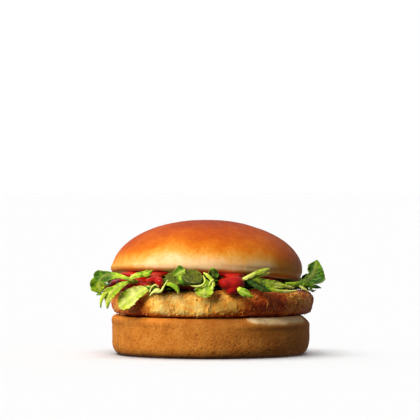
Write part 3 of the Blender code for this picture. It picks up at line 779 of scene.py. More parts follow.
def build_crust_shreds(mat):
    """Thin shreds of fried batter standing off the patty's edge."""
    rng = np.random.default_rng(23)
    verts, quads, tris, brown, relief = [], [], [], [], []
    base = 0
    for i in range(96):
        if i < 58:
            a0 = math.radians(-28) + rng.normal(0, 0.42)
        else:
            a0 = rng.uniform(0, 2 * PI)
        v0 = rng.uniform(1.2, 1.95)
        length = rng.uniform(1.6, 3.8)
        heading = rng.uniform(0, 2 * PI)
        bend = rng.uniform(-3.4, 3.4)
        u = np.linspace(0, 1, 9)
        h = heading + bend * u
        step = length / 8
        da = np.cumsum(np.cos(h)) * step / PATTY_RADIUS
        dv = np.cumsum(np.sin(h)) * step / 15.0
        A, V = a0 + da, np.clip(v0 + dv, 1.08, 2.1)
        p = patty_surface(A, V)
        eps = 1e-3
        n = np.cross(patty_surface(A + eps, V) - p, patty_surface(A, V + eps) - p)
        n /= np.linalg.norm(n, axis=1, keepdims=True)
        lift = patty_relief(p) + 0.12 + rng.uniform(0.05, 0.55) * np.sin(PI * u) ** 1.5
        path = p + n * lift[:, None]
        path[1:-1] = 0.25 * path[:-2] + 0.5 * path[1:-1] + 0.25 * path[2:]
        rad = rng.uniform(0.12, 0.26) * (0.35 + 0.65 * np.sin(PI * np.clip(u, 0.06, 0.94)))
        vv, qq, tt = tube(path, rad, 6)
        verts.append(vv)
        quads.append(qq + base)
        tris.append(tt + base)
        base += len(vv)
        tone = browning(p).mean() + rng.uniform(-0.38, 0.10)
        brown.append(np.full(len(vv), tone))
        # each shred's random relief sets its painted shade and painted highlight in the breading colour
        relief.append(np.full(len(vv), rng.uniform(0.4, 0.9)))
    return mesh_object("crust_shreds", np.concatenate(verts),
                       [np.concatenate(quads), np.concatenate(tris)], mat, slot="breading",
                       attrs={"brown": np.concatenate(brown), "relief": np.concatenate(relief)})


def build_sauce_smears(mat):
    """Thin ketchup run over the patty's edge, and a thicker pool on its top."""
    # centre angle (degrees), profile place, half-spans, thickness
    spots = ((-119.0, 1.99, 5.5, 0.20, 0.35), (-75.0, 1.80, 3.0, 0.16, 0.14),
             (-138.0, 2.06, 17.0, 0.16, 2.6), (-62.0, 2.02, 10.0, 0.12, 0.8),
             (-20.0, 2.04, 9.0, 0.10, 0.8), (75.0, 2.03, 10.0, 0.14, 0.9),
             (160.0, 2.03, 8.0, 0.12, 1.0))
    verts, faces, base = [], [], 0
    for i, (deg, v0, half_a, half_v, thick) in enumerate(spots):
        rows, cols = 34, 52
        u = np.linspace(-1, 1, rows)[:, None] * np.ones(cols)[None, :]
        w = np.linspace(-1, 1, cols)[None, :] * np.ones(rows)[:, None]
        A = math.radians(deg) + math.radians(half_a) * w
        V = np.clip(v0 + half_v * u, 1.05, 2.9)
        p = patty_surface(A, V)
        n = grid_normals(p, False)
        rim = np.hypot(u, w) + 0.22 * fbm(p, 4.0, 3, 300 + i)
        rise = np.sqrt(np.clip(1 - (rim / 0.86) ** 2, 0, 1))
        lift = patty_relief(p) * (0.9 - 0.6 * rise) + thick * rise - 0.28 * (1 - smooth(0, 0.35, rise))
        top = p + n * lift[..., None]
        low = p + n * (-0.9)
        vv = np.concatenate([top.reshape(-1, 3), low.reshape(-1, 3)])
        _, ff = plate(p, n, np.ones((rows, cols)))
        verts.append(vv)
        faces += [f + base for f in ff]
        base += len(vv)
    verts = np.concatenate(verts)
    quads = np.concatenate(faces)
    return mesh_object("sauce_smears", verts, [quads], mat, slot="ketchup")


# -------------------------------------------------------------------- ketchup
def soft_union(name, verts, faces, voxel, rounds, keep):
    """Melt overlapping closed shapes into one smooth skin."""
    me = bpy.data.meshes.new(name + "_raw")
    me.from_pydata((verts * MM).tolist(), [], [list(map(int, f)) for fs in faces for f in fs])
    obj = bpy.data.objects.new(name + "_raw", me)
    bpy.context.scene.collection.objects.link(obj)
    mod = obj.modifiers.new("melt", "REMESH")
    mod.mode = "VOXEL"
    mod.voxel_size = voxel * MM
    mod = obj.modifiers.new("ease", "SMOOTH")
    mod.factor = 0.5
    mod.iterations = rounds
    bpy.context.view_layer.update()
    got = obj.evaluated_get(bpy.context.evaluated_depsgraph_get()).to_mesh()
    co = np.empty(len(got.vertices) * 3)
    got.vertices.foreach_get("co", co)
    co = co.reshape(-1, 3) / MM
    polys = [tuple(p.vertices) for p in got.polygons]
    ends = np.empty(len(got.edges) * 2, dtype=np.int64)
    got.edges.foreach_get("vertices", ends)
    ends = ends.reshape(-1, 2)
    bpy.data.objects.remove(obj)
    bpy.data.meshes.remove(me)
    degree = np.bincount(ends.ravel(), minlength=len(co))[:, None]
    for step in range(4):
        co = clear_of_bread_and_meat(co, keep)
        total = np.zeros_like(co)
        np.add.at(total, ends[:, 0], co[ends[:, 1]])
        np.add.at(total, ends[:, 1], co[ends[:, 0]])
        if step < 3:
            co = 0.5 * co + 0.5 * total / degree
    quads = np.array([p for p in polys if len(p) == 4]).reshape(-1, 4)
    tris = np.array([p for p in polys if len(p) == 3]).reshape(-1, 3)
    return co, [f for f in (quads, tris) if len(f)]


def build_ketchup(mat):
    parts = []
    # spread under the crown, its rim uneven, sagging out of the gap
    cols = 300
    s = np.concatenate([np.linspace(0.05, 0.9, 12), np.linspace(0.9, 1.0, 8)[1:]])
    prof = [(r, 0.0) for r in s] + [(1.02, 0.25), (1.03, 0.5), (1.02, 0.75)] + [(r, 1.0) for r in s[::-1]]
    x, y, h, a = turned_rows(prof, cols)
    f = 36.5 * (1 + 0.03 * np.sin(3 * a + 0.4) + 0.02 * np.sin(7 * a))
    front = smooth(0.0, 0.7, np.cos(a + PI / 2 + 0.25))
    reach = f * (1 + 0.075 * front + 0.020 * np.sin(17 * a + 1) + 0.014 * np.sin(29 * a + 2))
    r = np.hypot(x, y)
    xx, yy = x * reach, y * reach - 7.0
    lip = smooth(47.0, 45.0, np.hypot(xx - CROWN_CENTRE_X, yy))
    xx, yy = xx * (0.985 + 0.015 * lip), yy
    cut = crown_cut(xx, yy) - 0.10
    p0 = np.stack([xx, yy, cut], -1)
    sag = 1.0 + 1.0 * np.clip(fbm(p0, 5.0, 2, 401) + 0.25, 0, 1) * smooth(0.75, 1.0, r)
    p = np.stack([xx, yy, cut - (1 - h) * sag], -1)
    low, high = [0, -7.0, crown_cut(0.0, -7.0) - 1.4], [0, -7.0, crown_cut(0.0, -7.0) - 0.10]
    m = p.shape[0]
    j = np.arange(cols)
    k = (j + 1) % cols
    parts.append((np.concatenate([p.reshape(-1, 3), [low], [high]]),
                  [ring_faces(m, cols),
                   np.concatenate([np.stack([np.full(cols, m * cols), k, j], -1),
                                   np.stack([np.full(cols, m * cols + 1), (m - 1) * cols + j,
                                             (m - 1) * cols + k], -1)])], {}))

    base, tri = icosahedron()

    def ball(at, size, tilt=0.0):
        th = np.linspace(0, PI, 26)[1:-1]
        ph = np.linspace(0, 2 * PI, 40, endpoint=False)
        T, P = np.meshgrid(PI - th, ph, indexing="ij")
        q = np.stack([np.sin(T) * np.cos(P), np.sin(T) * np.sin(P), np.cos(T)], -1) * np.array(size)
        c, s_ = math.cos(math.radians(tilt)), math.sin(math.radians(tilt))
        q = np.stack([q[..., 0] * c + q[..., 2] * s_, q[..., 1], -q[..., 0] * s_ + q[..., 2] * c], -1)
        q = q + np.array(at)
        m, n = q.shape[:2]
        low, high = q[0].mean(axis=0), q[-1].mean(axis=0)
        j = np.arange(n)
        k = (j + 1) % n
        parts.append((np.concatenate([q.reshape(-1, 3), [low], [high]]),
                      [ring_faces(m, n),
                       np.concatenate([np.stack([np.full(n, m * n), k, j], -1),
                                       np.stack([np.full(n, m * n + 1), (m - 1) * n + j,
                                                 (m - 1) * n + k], -1)])], {}))

    # the dollop: a wide shoulder under the crown, a broad belly, a tail to one side
    ball((10.8, -44.6, 39.6), (6.8, 2.9, 1.3), 3)
    ball((11.2, -49.0, 36.9), (5.9, 4.6, 4.6), -14)
    ball((7.8, -50.2, 37.0), (4.2, 3.6, 2.9), 24)
    ball((11.2, -50.8, 34.4), (3.6, 2.7, 2.8), -24)
    ball((9.5, -41.0, 41.4), (8.0, 7.0, 1.4), 0)
    # the drop, and the pool it came from
    ball((-25.2, -48.8, 37.8), (2.2, 2.7, 3.0), 8)
    ball((-27.2, -44.8, 39.6), (3.4, 4.0, 1.9), 0)
    ball((-29.8, -45.6, 38.4), (2.6, 2.4, 1.2), 22)
    ball((-26.0, -39.0, 41.4), (4.5, 6.0, 1.8), 0)
    # sauce bulging from the gap between the leaves
    ball((-34.0, -33.5, 37.4), (7.4, 6.8, 2.6), 10)
    ball((-40.5, -28.5, 37.4), (6.8, 6.8, 2.5), 6)
    ball((-45.2, -23.6, 36.8), (5.4, 6.2, 2.2), 0)
    ball((-37.5, -34.5, 35.2), (7.4, 5.4, 1.9), 8)
    ball((-31.0, -38.5, 36.0), (5.4, 4.6, 1.9), 12)
    ball((-10.0, -42.0, 36.4), (8.0, 6.0, 2.2), 0)
    ball((-48.0, -24.5, 35.2), (4.0, 4.4, 1.7), 6)
    ball((-43.6, -28.0, 34.0), (4.8, 5.4, 1.7), 4)
    ball((-37.0, -28.5, 41.0), (8.5, 7.0, 1.7), 4)
    verts, faces, _ = join(parts)
    co, faces = soft_union("ketchup_sauce", verts, faces, 0.42, 9, 0.04)
    return mesh_object("ketchup_sauce", co, faces, mat, node="ketchup", slot="ketchup")


# --------------------------------------------------------------------- pickles
def build_pickle(name, node, mat, at, lean, turn, seed):
    cols, R, half = 120, 5.2, 0.95
    rad = [(r, -1) for r in np.linspace(0.12, 0.90, 12)]
    rad += [(0.90 + 0.10 * math.sin(b), -math.cos(b)) for b in np.linspace(0.25, PI - 0.25, 9)]
    rad += [(r, 1) for r in np.linspace(0.90, 0.12, 12)]
    x, y, s, a = turned_rows(rad, cols)
    out = 1 + 0.035 * np.sin(2 * a + seed) + 0.02 * np.sin(5 * a + 2 * seed)
    rr = np.hypot(x, y)
    lx, ly = x * R * out, y * R * out
    q = np.stack([lx, ly, s * half], -1)
    # soft seed core, raised skin edge, a slight warp
    seeds, _ = cells(np.stack([lx, ly, lx * 0], -1) + seed * 7, 1.25, 500 + seed)
    core = smooth(0.62, 0.42, rr)
    dent = -0.16 * core * smooth(0.5, 0.2, seeds) + 0.10 * smooth(0.84, 0.95, rr) * (1 - smooth(0.97, 1.0, rr))
    lz = s * (half + dent * (np.abs(s) > 0.9)) + 0.05 * lx * ly / R + 0.45 * (ly / R) ** 2 - 0.15 * fbm(q, 4.0, 2, 510 + seed)
    ca, sa = math.cos(math.radians(lean)), math.sin(math.radians(lean))
    cb, sb = math.cos(math.radians(turn)), math.sin(math.radians(turn))
    X, Y, Z = lx, ly * ca - lz * sa, ly * sa + lz * ca
    X, Z = X * cb + Z * sb, -X * sb + Z * cb
    p = np.stack([X, Y, Z], -1) + np.array(at)
    p = clear_of_bread_and_meat(p, 0.1)
    attrs = {"rim": smooth(0.90, 0.985, rr) * 0.95,
             "pale": 0.30 * smooth(0.78, 0.88, rr) * (1 - smooth(0.90, 0.95, rr))
             + 0.40 * core * smooth(0.42, 0.2, seeds)}
    low = p[0].mean(axis=0)
    high = p[-1].mean(axis=0)
    return turned_object(name, p, mat, low, high, node=node, slot="pickle", attrs=attrs)


# -------------------------------------------------------------------- lettuce
# Each front leaf is one or more blades. A blade's rows run from root to tip:
# midrib x, y, z, half-width to the right and left of travel, and paleness.
# "face" is where its upper side looks, "flat" where along it it turns there.
LEAVES = {
    "lettuce_left_long": (
        dict(rows=((-31.7, -33, 36.2, 0.7, 0.7, 0.8), (-36.4, -39.5, 37.9, 0.8, 0.8, 0.75),
                   (-40.9, -41.5, 39.5, 0.9, 0.9, 0.7), (-45.3, -39, 41.0, 1.0, 1.3, 0.62),
                   (-49.1, -34.5, 41.5, 1.3, 2.7, 0.36), (-52.2, -31, 40.9, 2.3, 3.4, 0.24),
                   (-54.5, -28, 39.4, 4.6, 3.1, 0.26), (-55.4, -27, 37.7, 4.2, 3.3, 0.44),
                   (-55.8, -26, 35.9, 4.8, 3.4, 0.56), (-55.5, -25.5, 34.1, 4.2, 2.4, 0.5),
                   (-55.0, -25, 32.3, 1.6, 0.8, 0.5)),
             face=(-0.25, -0.95, 0.12), flat=(0.0, 0.12)),
    ),
    "lettuce_left_feathery": (
        dict(rows=((-36.6, -36, 36.8, 0.5, 0.5, 0.8), (-40.5, -40.5, 37.8, 0.7, 0.7, 0.7),
                   (-44.2, -40, 36.4, 1.5, 1.6, 0.6), (-47.5, -37.5, 34.0, 2.1, 2.5, 0.62),
                   (-50.1, -35.5, 31.5, 3.6, 2.6, 0.7), (-51.1, -34.5, 28.5, 1.7, 1.6, 0.75),
                   (-51.5, -34, 24.5, 0.2, 0.3, 0.65)),
             face=(-0.3, -0.95, 0.1), flat=(0.0, 0.12)),
        dict(rows=((-51.6, -35.2, 32.8, 1.0, 1.0, 0.7), (-53.6, -34.6, 30.7, 1.1, 1.1, 0.72),
                   (-54.6, -34.2, 28.0, 0.7, 0.7, 0.66), (-54.9, -34, 24.9, 0.2, 0.3, 0.55)),
             face=(-0.3, -0.95, 0.1), flat=None),
    ),
    "lettuce_left_round": (
        dict(rows=((-26.1, -37, 36.1, 0.7, 0.7, 0.8), (-29.2, -43, 35.4, 1.1, 1.1, 0.86),
                   (-32.5, -42.5, 34.1, 2.0, 1.8, 0.88), (-36.5, -41, 31.7, 4.4, 2.5, 0.9),
                   (-40.5, -38.5, 28.9, 5.2, 3.6, 0.92), (-43.5, -36, 26.6, 4.3, 3.2, 0.9),
                   (-45.4, -34.5, 25.2, 1.0, 1.0, 0.85)),
             face=(-0.3, -0.94, 0.12), flat=(0.0, 0.12)),
    ),
    "lettuce_left_small": (
        dict(rows=((-40.6, -37, 39.1, 0.5, 0.5, 0.85), (-38.5, -42, 40.6, 1.2, 1.0, 0.8),
                   (-35.9, -43.5, 41.5, 1.5, 1.3, 0.6), (-33.2, -45, 41.9, 1.2, 1.4, 0.5),
                   (-30.9, -46.5, 42.4, 1.4, 1.8, 0.45), (-28.6, -47.3, 43.8, 0.2, 0.2, 0.6)),
             face=(-0.1, -0.98, 0.1), flat=None),
    ),
    "lettuce_front_curl": (
        dict(rows=((-21.2, -49.5, 38.9, 0.3, 0.3, 1), (-22.8, -51.8, 36.3, 0.4, 0.4, 1),
                   (-24.4, -52.9, 33.7, 0.7, 0.6, 0.95), (-26.3, -52.9, 33.8, 1.5, 0.9, 0.9),
                   (-28.3, -52.2, 33.1, 0.7, 0.6, 1), (-30.0, -51, 31.4, 0.2, 0.2, 1)),
             face=(0, -1, 0.1), flat=None),
        dict(rows=((-29.9, -50, 33.3, 0.3, 0.3, 1), (-29.0, -51.6, 35.6, 0.4, 0.4, 1),
                   (-27.3, -52.4, 36.8, 0.4, 0.4, 1), (-25.6, -52, 36.0, 0.3, 0.3, 0.95)),
             face=(0, -1, 0.1), flat=None),
    ),
    "lettuce_front_strip": (
        dict(rows=((-26.0, -44, 35.6, 0.5, 0.5, 0.7), (-22.5, -49, 37.1, 0.7, 0.7, 0.7),
                   (-19.7, -52.5, 37.1, 0.9, 0.9, 0.55),
                   (-17.4, -53.8, 36.0, 1.1, 1.1, 0.55), (-16.0, -54, 34.2, 0.9, 0.8, 0.7),
                   (-16.0, -53.7, 32.7, 0.2, 0.3, 0.8)),
             face=(0, -1, 0.15), flat=(0.0, 0.25)),
    ),
    "lettuce_front_behind": (
        dict(rows=((-17.6, -48.0, 40.6, 2.6, 1.2, 0.34), (-16.9, -49.4, 41.5, 3.4, 2.0, 0.38),
                   (-15.4, -50.0, 42.5, 3.6, 3.0, 0.5), (-13.9, -50.2, 43.2, 2.8, 3.4, 0.5),
                   (-12.2, -50.3, 43.8, 0.4, 0.8, 0.6)),
             face=(0, -1, 0.2), flat=None),
    ),
    "lettuce_front_cup": (
        dict(rows=((-6.2, -44, 37.3, 1.0, 1.0, 0.5), (-3.5, -51.5, 37.2, 2.5, 2.8, 0.55),
                   (-2.9, -54, 35.2, 4.5, 4.1, 0.62), (-2.8, -54.8, 33.3, 4.5, 4.0, 0.68),
                   (-2.7, -54.5, 31.6, 2.7, 2.9, 0.75), (-2.7, -54.2, 30.6, 0.5, 0.5, 0.9)),
             face=(0, -1, 0.1), flat=(0.0, 0.2)),
        dict(rows=((-11.7, -53.4, 38.7, 0.2, 0.2, 1), (-9.7, -54.4, 36.9, 0.4, 0.4, 1),
                   (-6.9, -54.9, 36.2, 0.5, 0.5, 0.95), (-3.9, -55, 36.9, 0.5, 0.5, 0.9),
                   (-2.6, -54.4, 38.9, 0.5, 0.5, 0.9), (-3.5, -52.8, 41.4, 0.3, 0.3, 0.95)),
             face=(0, -1, 0.1), flat=None),
        dict(rows=((-3.4, -51.6, 42.8, 0.3, 0.3, 0.9), (-1.5, -52.9, 41.6, 0.8, 0.8, 0.8),
                   (0.4, -53.7, 39.7, 0.8, 0.8, 0.75), (1.5, -54.5, 37.1, 0.8, 0.8, 0.75),
                   (0.8, -55, 35.0, 0.4, 0.4, 0.8)),
             face=(0, -1, 0.1), flat=None),
        dict(rows=((-0.9, -54.6, 36.6, 0.2, 0.2, 0.95), (0.3, -54.6, 38.4, 0.4, 0.4, 0.9),
                   (1.8, -54.2, 39.7, 0.2, 0.2, 0.9)),
             face=(0, -1, 0.1), flat=None),
    ),
    "lettuce_front_dark": (
        dict(rows=((0.8, -45, 38.6, 1.0, 1.0, 0.2), (1.1, -49, 40.7, 2.2, 2.1, 0.18),
                   (1.3, -50.2, 42.7, 2.6, 2.3, 0.2), (1.0, -50.8, 44.3, 1.6, 1.8, 0.32),
                   (0.7, -51, 45.1, 0.2, 0.2, 0.5)),
             face=(0, -1, 0.2), flat=None),
    ),
    "lettuce_right_strip": (
        dict(rows=((12.7, -44.5, 37.8, 0.5, 0.5, 0.7), (16.4, -49, 39.6, 0.8, 0.8, 0.85),
                   (19.6, -49.8, 41.1, 1.0, 1.0, 0.8), (23.0, -48.8, 42.6, 1.1, 1.1, 0.7),
                   (26.5, -47, 43.8, 1.1, 1.1, 0.75), (29.2, -45.2, 44.3, 0.6, 0.6, 0.85)),
             face=(0.15, -0.98, 0.1), flat=(0.0, 0.12)),
        dict(rows=((19.1, -48.4, 39.7, 0.5, 0.5, 0.6), (22.1, -48.4, 40.6, 0.8, 0.9, 0.6),
                   (25.5, -47, 41.4, 0.6, 0.6, 0.75), (29.5, -45, 42.6, 0.2, 0.2, 0.9)),
             face=(0.15, -0.98, 0.1), flat=None),
        dict(rows=((19.8, -48.7, 40.4, 0.8, 0.8, 0.7), (22.6, -48.4, 39.7, 1.1, 1.1, 0.6),
                   (24.8, -47.6, 37.4, 0.2, 0.2, 0.8)),
             face=(0.15, -0.98, 0.1), flat=None),
    ),
    "lettuce_front_small": (
        dict(rows=((12.7, -46, 37.1, 0.5, 0.5, 0.7), (13.9, -52.6, 35.2, 0.9, 1.0, 0.62),
                   (15.4, -53.8, 33.8, 1.7, 1.9, 0.58), (17.4, -54.0, 32.7, 1.6, 2.0, 0.6),
                   (19.4, -53.7, 31.7, 0.9, 1.1, 0.62), (21.2, -53.3, 31.2, 0.2, 0.2, 0.8)),
             face=(0.05, -1, 0.1), flat=(0.0, 0.2)),
    ),
    # the near-black tones at the root of the first blade and along the third blade are a painted shadow under
    # the crown
    "lettuce_right_dark": (
        dict(rows=((19.7, -42, 39.2, 0.7, 0.7, 0.05), (24.1, -45.5, 38.6, 1.6, 1.3, 0.12),
                   (28.1, -45.6, 37.8, 2.1, 1.6, 0.50), (32.6, -43.5, 36.8, 1.8, 1.6, 0.8),
                   (37.1, -41, 35.9, 1.0, 0.9, 0.85), (41.6, -38, 35.0, 0.2, 0.2, 0.95)),
             face=(0.25, -0.95, 0.12), flat=(0.0, 0.12)),
        dict(rows=((25.6, -45.6, 36.0, 1.0, 1.0, 0.4), (29.5, -45.6, 34.6, 1.0, 1.0, 0.5),
                   (34.0, -44, 33.6, 0.9, 0.8, 0.75), (38.6, -41.4, 33.3, 0.8, 0.6, 0.9),
                   (42.9, -38.8, 33.6, 0.2, 0.2, 1)),
             face=(0.25, -0.95, 0.12), flat=None),
        dict(rows=((18.2, -44, 38.5, 0.7, 0.7, 0.08), (21.8, -47.2, 36.9, 1.3, 1.3, 0.05),
                   (26.0, -47, 35.0, 1.5, 1.2, 0.06), (30.3, -45.8, 33.4, 0.3, 0.3, 0.15)),
             face=(0.25, -0.95, 0.12), flat=None),
    ),
    "lettuce_right_lobe": (
        dict(rows=((37.7, -35.5, 37.0, 0.9, 0.9, 0.6), (41.4, -34, 36.6, 1.0, 1.0, 0.62),
                   (44.8, -31, 36.9, 1.4, 1.2, 0.5), (47.9, -28.5, 38.1, 2.5, 1.6, 0.22),
                   (50.7, -26.5, 40.3, 5.6, 2.1, 0.16), (52.0, -25.5, 42.4, 6.0, 3.7, 0.16),
                   (52.9, -25, 44.9, 3.7, 4.0, 0.24), (53.3, -24.8, 46.8, 1.8, 2.5, 0.3),
                   (53.5, -24.6, 48.5, 0.2, 0.2, 0.3)),
             face=(0.1, -0.98, 0.15), flat=(0.0, 0.12)),
        dict(rows=((46.3, -31.5, 36.4, 0.7, 0.7, 0.5), (49.7, -29, 35.6, 1.0, 1.0, 0.3),
                   (52.9, -27.5, 35.1, 0.9, 0.9, 0.2), (55.5, -26.5, 34.5, 0.2, 0.2, 0.15)),
             face=(0.1, -0.98, 0.15), flat=None),
        dict(rows=((44.5, -34, 35.7, 0.4, 0.4, 0.9), (46.5, -33.8, 34.5, 0.7, 0.6, 0.95),
                   (48.8, -33.2, 33.2, 0.2, 0.2, 1)),
             face=(0.1, -0.98, 0.15), flat=None),
    ),
}


def back_leaves():
    """Leaves round the sides and the back, fanned at even steps."""
    leaves = {}
    fan = (("lettuce_right_side", 3, 3.8, 51.4, -1.0, 0.5),
           ("lettuce_back_right", 34, 8.0, 55.5, 3.0, 0.40),
           ("lettuce_back_right_inner", 62, 7.4, 57.0, -4.0, 0.66),
           ("lettuce_back_middle", 90, 8.4, 56.0, 2.5, 0.34),
           ("lettuce_back_left_inner", 118, 7.4, 57.5, -4.5, 0.78),
           ("lettuce_back_left", 146, 8.2, 57.0, 2.0, 0.44),
           ("lettuce_left_side", 177, 7.2, 55.5, -3.0, 0.58))
    for index, (name, angle, width, reach, lift, tone) in enumerate(fan):
        a = math.radians(angle)
        out = Vector((math.cos(a), math.sin(a), 0.0))
        skew = Vector((-out.y, out.x, 0.0)) * (1.5 if index % 2 else -1.5)
        stations = []
        for radius, share in ((33.0, 0.0), (40.0, 0.0), (46.5, 0.0), (reach, 1.0)):
            p = out * radius + skew * (radius / 50.0) ** 2
            z = max(patty_top(p.x, p.y) + 1.0,
                    0.5 * (patty_top(p.x, p.y) + crown_cut(p.x, p.y)) - 0.9)
            stations.append((p.x, p.y, z + share * lift))
        tip = Vector(stations[-1]) + out * 1.2 + Vector((0, 0, 0.8 * lift))
        stations.append(tuple(tip))
        leaves[name] = dict(stations=tuple(stations), width=width * 1.15, root=0.4,
                            face=tuple(out * 0.45 + Vector((0, 0, 0.9))), cup=0.3,
                            grid=(104, 45), lobes=2.6, depth=0.38, sweep=0.7,
                            tone=tone, ruffle=0.26, rib=1.0)
    return leaves


def along(stations, t):
    """Points at t (0..1, any array) on a smooth curve through the stations."""
    pts = np.array(stations, dtype=float)
    pts = np.concatenate([[2 * pts[0] - pts[1]], pts, [2 * pts[-1] - pts[-2]]])
    last = len(stations) - 1
    u = np.clip(t, 0.0, 1.0) * last
    i = np.minimum(u.astype(int), last - 1)
    u = (u - i)[..., None]
    a, b, c, d = pts[i], pts[i + 1], pts[i + 2], pts[i + 3]
    return 0.5 * (2 * b + (c - a) * u + (2 * a - 5 * b + 4 * c - d) * u ** 2
                  + (3 * b - a - 3 * c + d) * u ** 3)


def even_steps(stations, count):
    """Places along the stations that are evenly spaced in length."""
    t = np.linspace(0, 1, 400)
    p = along(stations, t)
    run = np.concatenate([[0], np.cumsum(np.linalg.norm(np.diff(p, axis=0), axis=1))])
    return np.interp(np.linspace(0, run[-1], count), run, t), run[-1]


def blade_arrays(blade, seed):
    """One blade of a front leaf as a closed plate; verts, faces, attributes."""
    rows = np.array(blade["rows"], dtype=float)
    stations, half_r, half_l, pale = rows[:, :3], rows[:, 3:4], rows[:, 4:5], rows[:, 5:6]
    length = even_steps(stations, 10)[1]
    nu = int(np.clip(length / 0.16, 50, 200))
    nv = int(np.clip((half_r.max() + half_l.max()) / 0.15, 15, 61)) | 1
    t, length = even_steps(stations, nu)
    T, S = np.meshgrid(t, np.linspace(-1, 1, nv), indexing="ij")
    L = np.linspace(0, length, nu)[:, None] * np.ones(nv)[None, :]
    side, a = np.sign(S), np.abs(S)
    wr = np.maximum(along(half_r, T)[..., 0], 0.12)
    wl = np.maximum(along(half_l, T)[..., 0], 0.12)
    base = np.where(side >= 0, wr, wl)
    size = max(half_r.max(), half_l.max())
    edge_line = np.stack([L, 3.0 + 6.0 * (side > 0), np.full_like(L, seed % 97)], -1)
    big = smooth(0.7, 2.2, base)
    teeth = 1 + big * (0.07 * noise(edge_line, 1.9, 7) + 0.07 * noise(edge_line, 0.8, 8))
    d = a * base * teeth
    mid = along(stations, T)
    # direction of travel along the midrib
    step = 0.012
    ahead = along(stations, np.minimum(T + step, 1)) - along(stations, np.maximum(T - step, 0))
    ahead /= np.maximum(np.linalg.norm(ahead, axis=-1, keepdims=True), 1e-9)
    look = np.array(blade["face"], float)
    look /= np.linalg.norm(look)
    if blade["flat"]:
        blend = smooth(blade["flat"][0], blade["flat"][1], L / length)[..., None]
        face = np.array([0.0, 0.0, 1.0]) * (1 - blend) + look * blend
    else:
        face = look * np.ones_like(mid)
    face = face - ahead * np.sum(face * ahead, -1, keepdims=True)
    face /= np.maximum(np.linalg.norm(face, axis=-1, keepdims=True), 1e-9)
    across = np.cross(ahead, face)
    ph = (seed % 13) / 13.0
    curl = (0.10 * base * a ** 2 * np.sin(2 * PI * (L / 7.5 + ph + 0.23 * side))
            + 0.13 * base * a ** 2.6 * np.sin(2 * PI * (L / 3.4 + 2 * ph + 0.4 * side))
            + 0.05 * base * a ** 4 * np.sin(2 * PI * (L / 1.7 + 3 * ph + 0.1 * side)))
    cup = 0.16 * base * a ** 2
    p = mid + across * (side * d)[..., None] + face * (curl + cup)[..., None]
    p = p + face * (big * (0.16 * fbm(p, 3.4, 3, seed % 500)))[..., None]
    rib = np.exp(-(a * base / (0.42 + 0.10 * size)) ** 2)
    stalk = smooth(2.6, 1.1, base)
    thick = 0.30 + 0.55 * rib * np.minimum(1.0, 0.35 + 0.2 * size) + 0.45 * stalk * (1 - a ** 2)
    thick = thick * smooth(-0.12, 0.06, 1 - L / length) ** 0.5
    p = clear_of_bread_and_meat(p, 0.05 + 0.5 * thick)
    n = grid_normals(p, False)
    if np.sum(n * face) < 0:
        n = -n
        flip = True
    else:
        flip = False
    # veins run forward from the rib and fade before the margin
    line = (L - 0.9 * d) / (0.75 + 0.22 * size)
    vein = np.exp(-(np.abs(line - np.round(line)) / 0.10) ** 2) * (1 - a ** 2) * big * (1 - rib)
    line = (L + 0.6 * d + 0.3 * noise(p, 1.4, 71)) / 0.55
    vein = vein + 0.3 * np.exp(-(np.abs(line - np.round(line)) / 0.14) ** 2) * big * (1 - rib)
    thick = thick + 0.10 * vein
    verts, faces = plate(p, n, thick)
    if flip:
        faces = [f[:, ::-1] for f in faces]
    tone = along(pale, T)[..., 0] + 0.15 * fbm(p, 3.6, 3, seed % 700) - 0.06 * a * big
    # paler towards the margin of big blades: partly pale leaf edge, partly painted highlight
    margin = smooth(0.86, 1.0, a) * big * 0.6
    attrs = {"tone": np.clip(tone, 0, 1),
             "rib": np.clip(0.55 * rib * big * (0.35 + tone) + 0.6 * stalk * smooth(0.55, 1.0, tone)
                            + margin * (0.5 + 0.6 * tone), 0, 1),
             "vein": np.clip(vein, 0, 1)}
    return verts, faces, {k: np.concatenate([v.ravel()] * 2) for k, v in attrs.items()}


def join(parts):
    """Several (verts, faces, attributes) as one."""
    verts, faces, attrs, base = [], {3: [], 4: []}, {}, 0
    for v, fs, at in parts:
        verts.append(v)
        for f in fs:
            faces[f.shape[1]].append(f + base)
        for key, val in at.items():
            attrs.setdefault(key, []).append(val)
        base += len(v)
    return (np.concatenate(verts), [np.concatenate(f) for f in faces.values() if f],
            {k: np.concatenate(v) for k, v in attrs.items()})


def blade_width(t, root):
    swell = 0.5 - 0.5 * np.cos(PI * np.minimum(1.0, t / 0.62))
    tip = np.sqrt(np.maximum(0.0, 1.0 - np.maximum(0.0, (t - 0.62) / 0.38) ** 2.4))
    return (root + (1 - root) * swell) * (0.10 + 0.90 * tip)


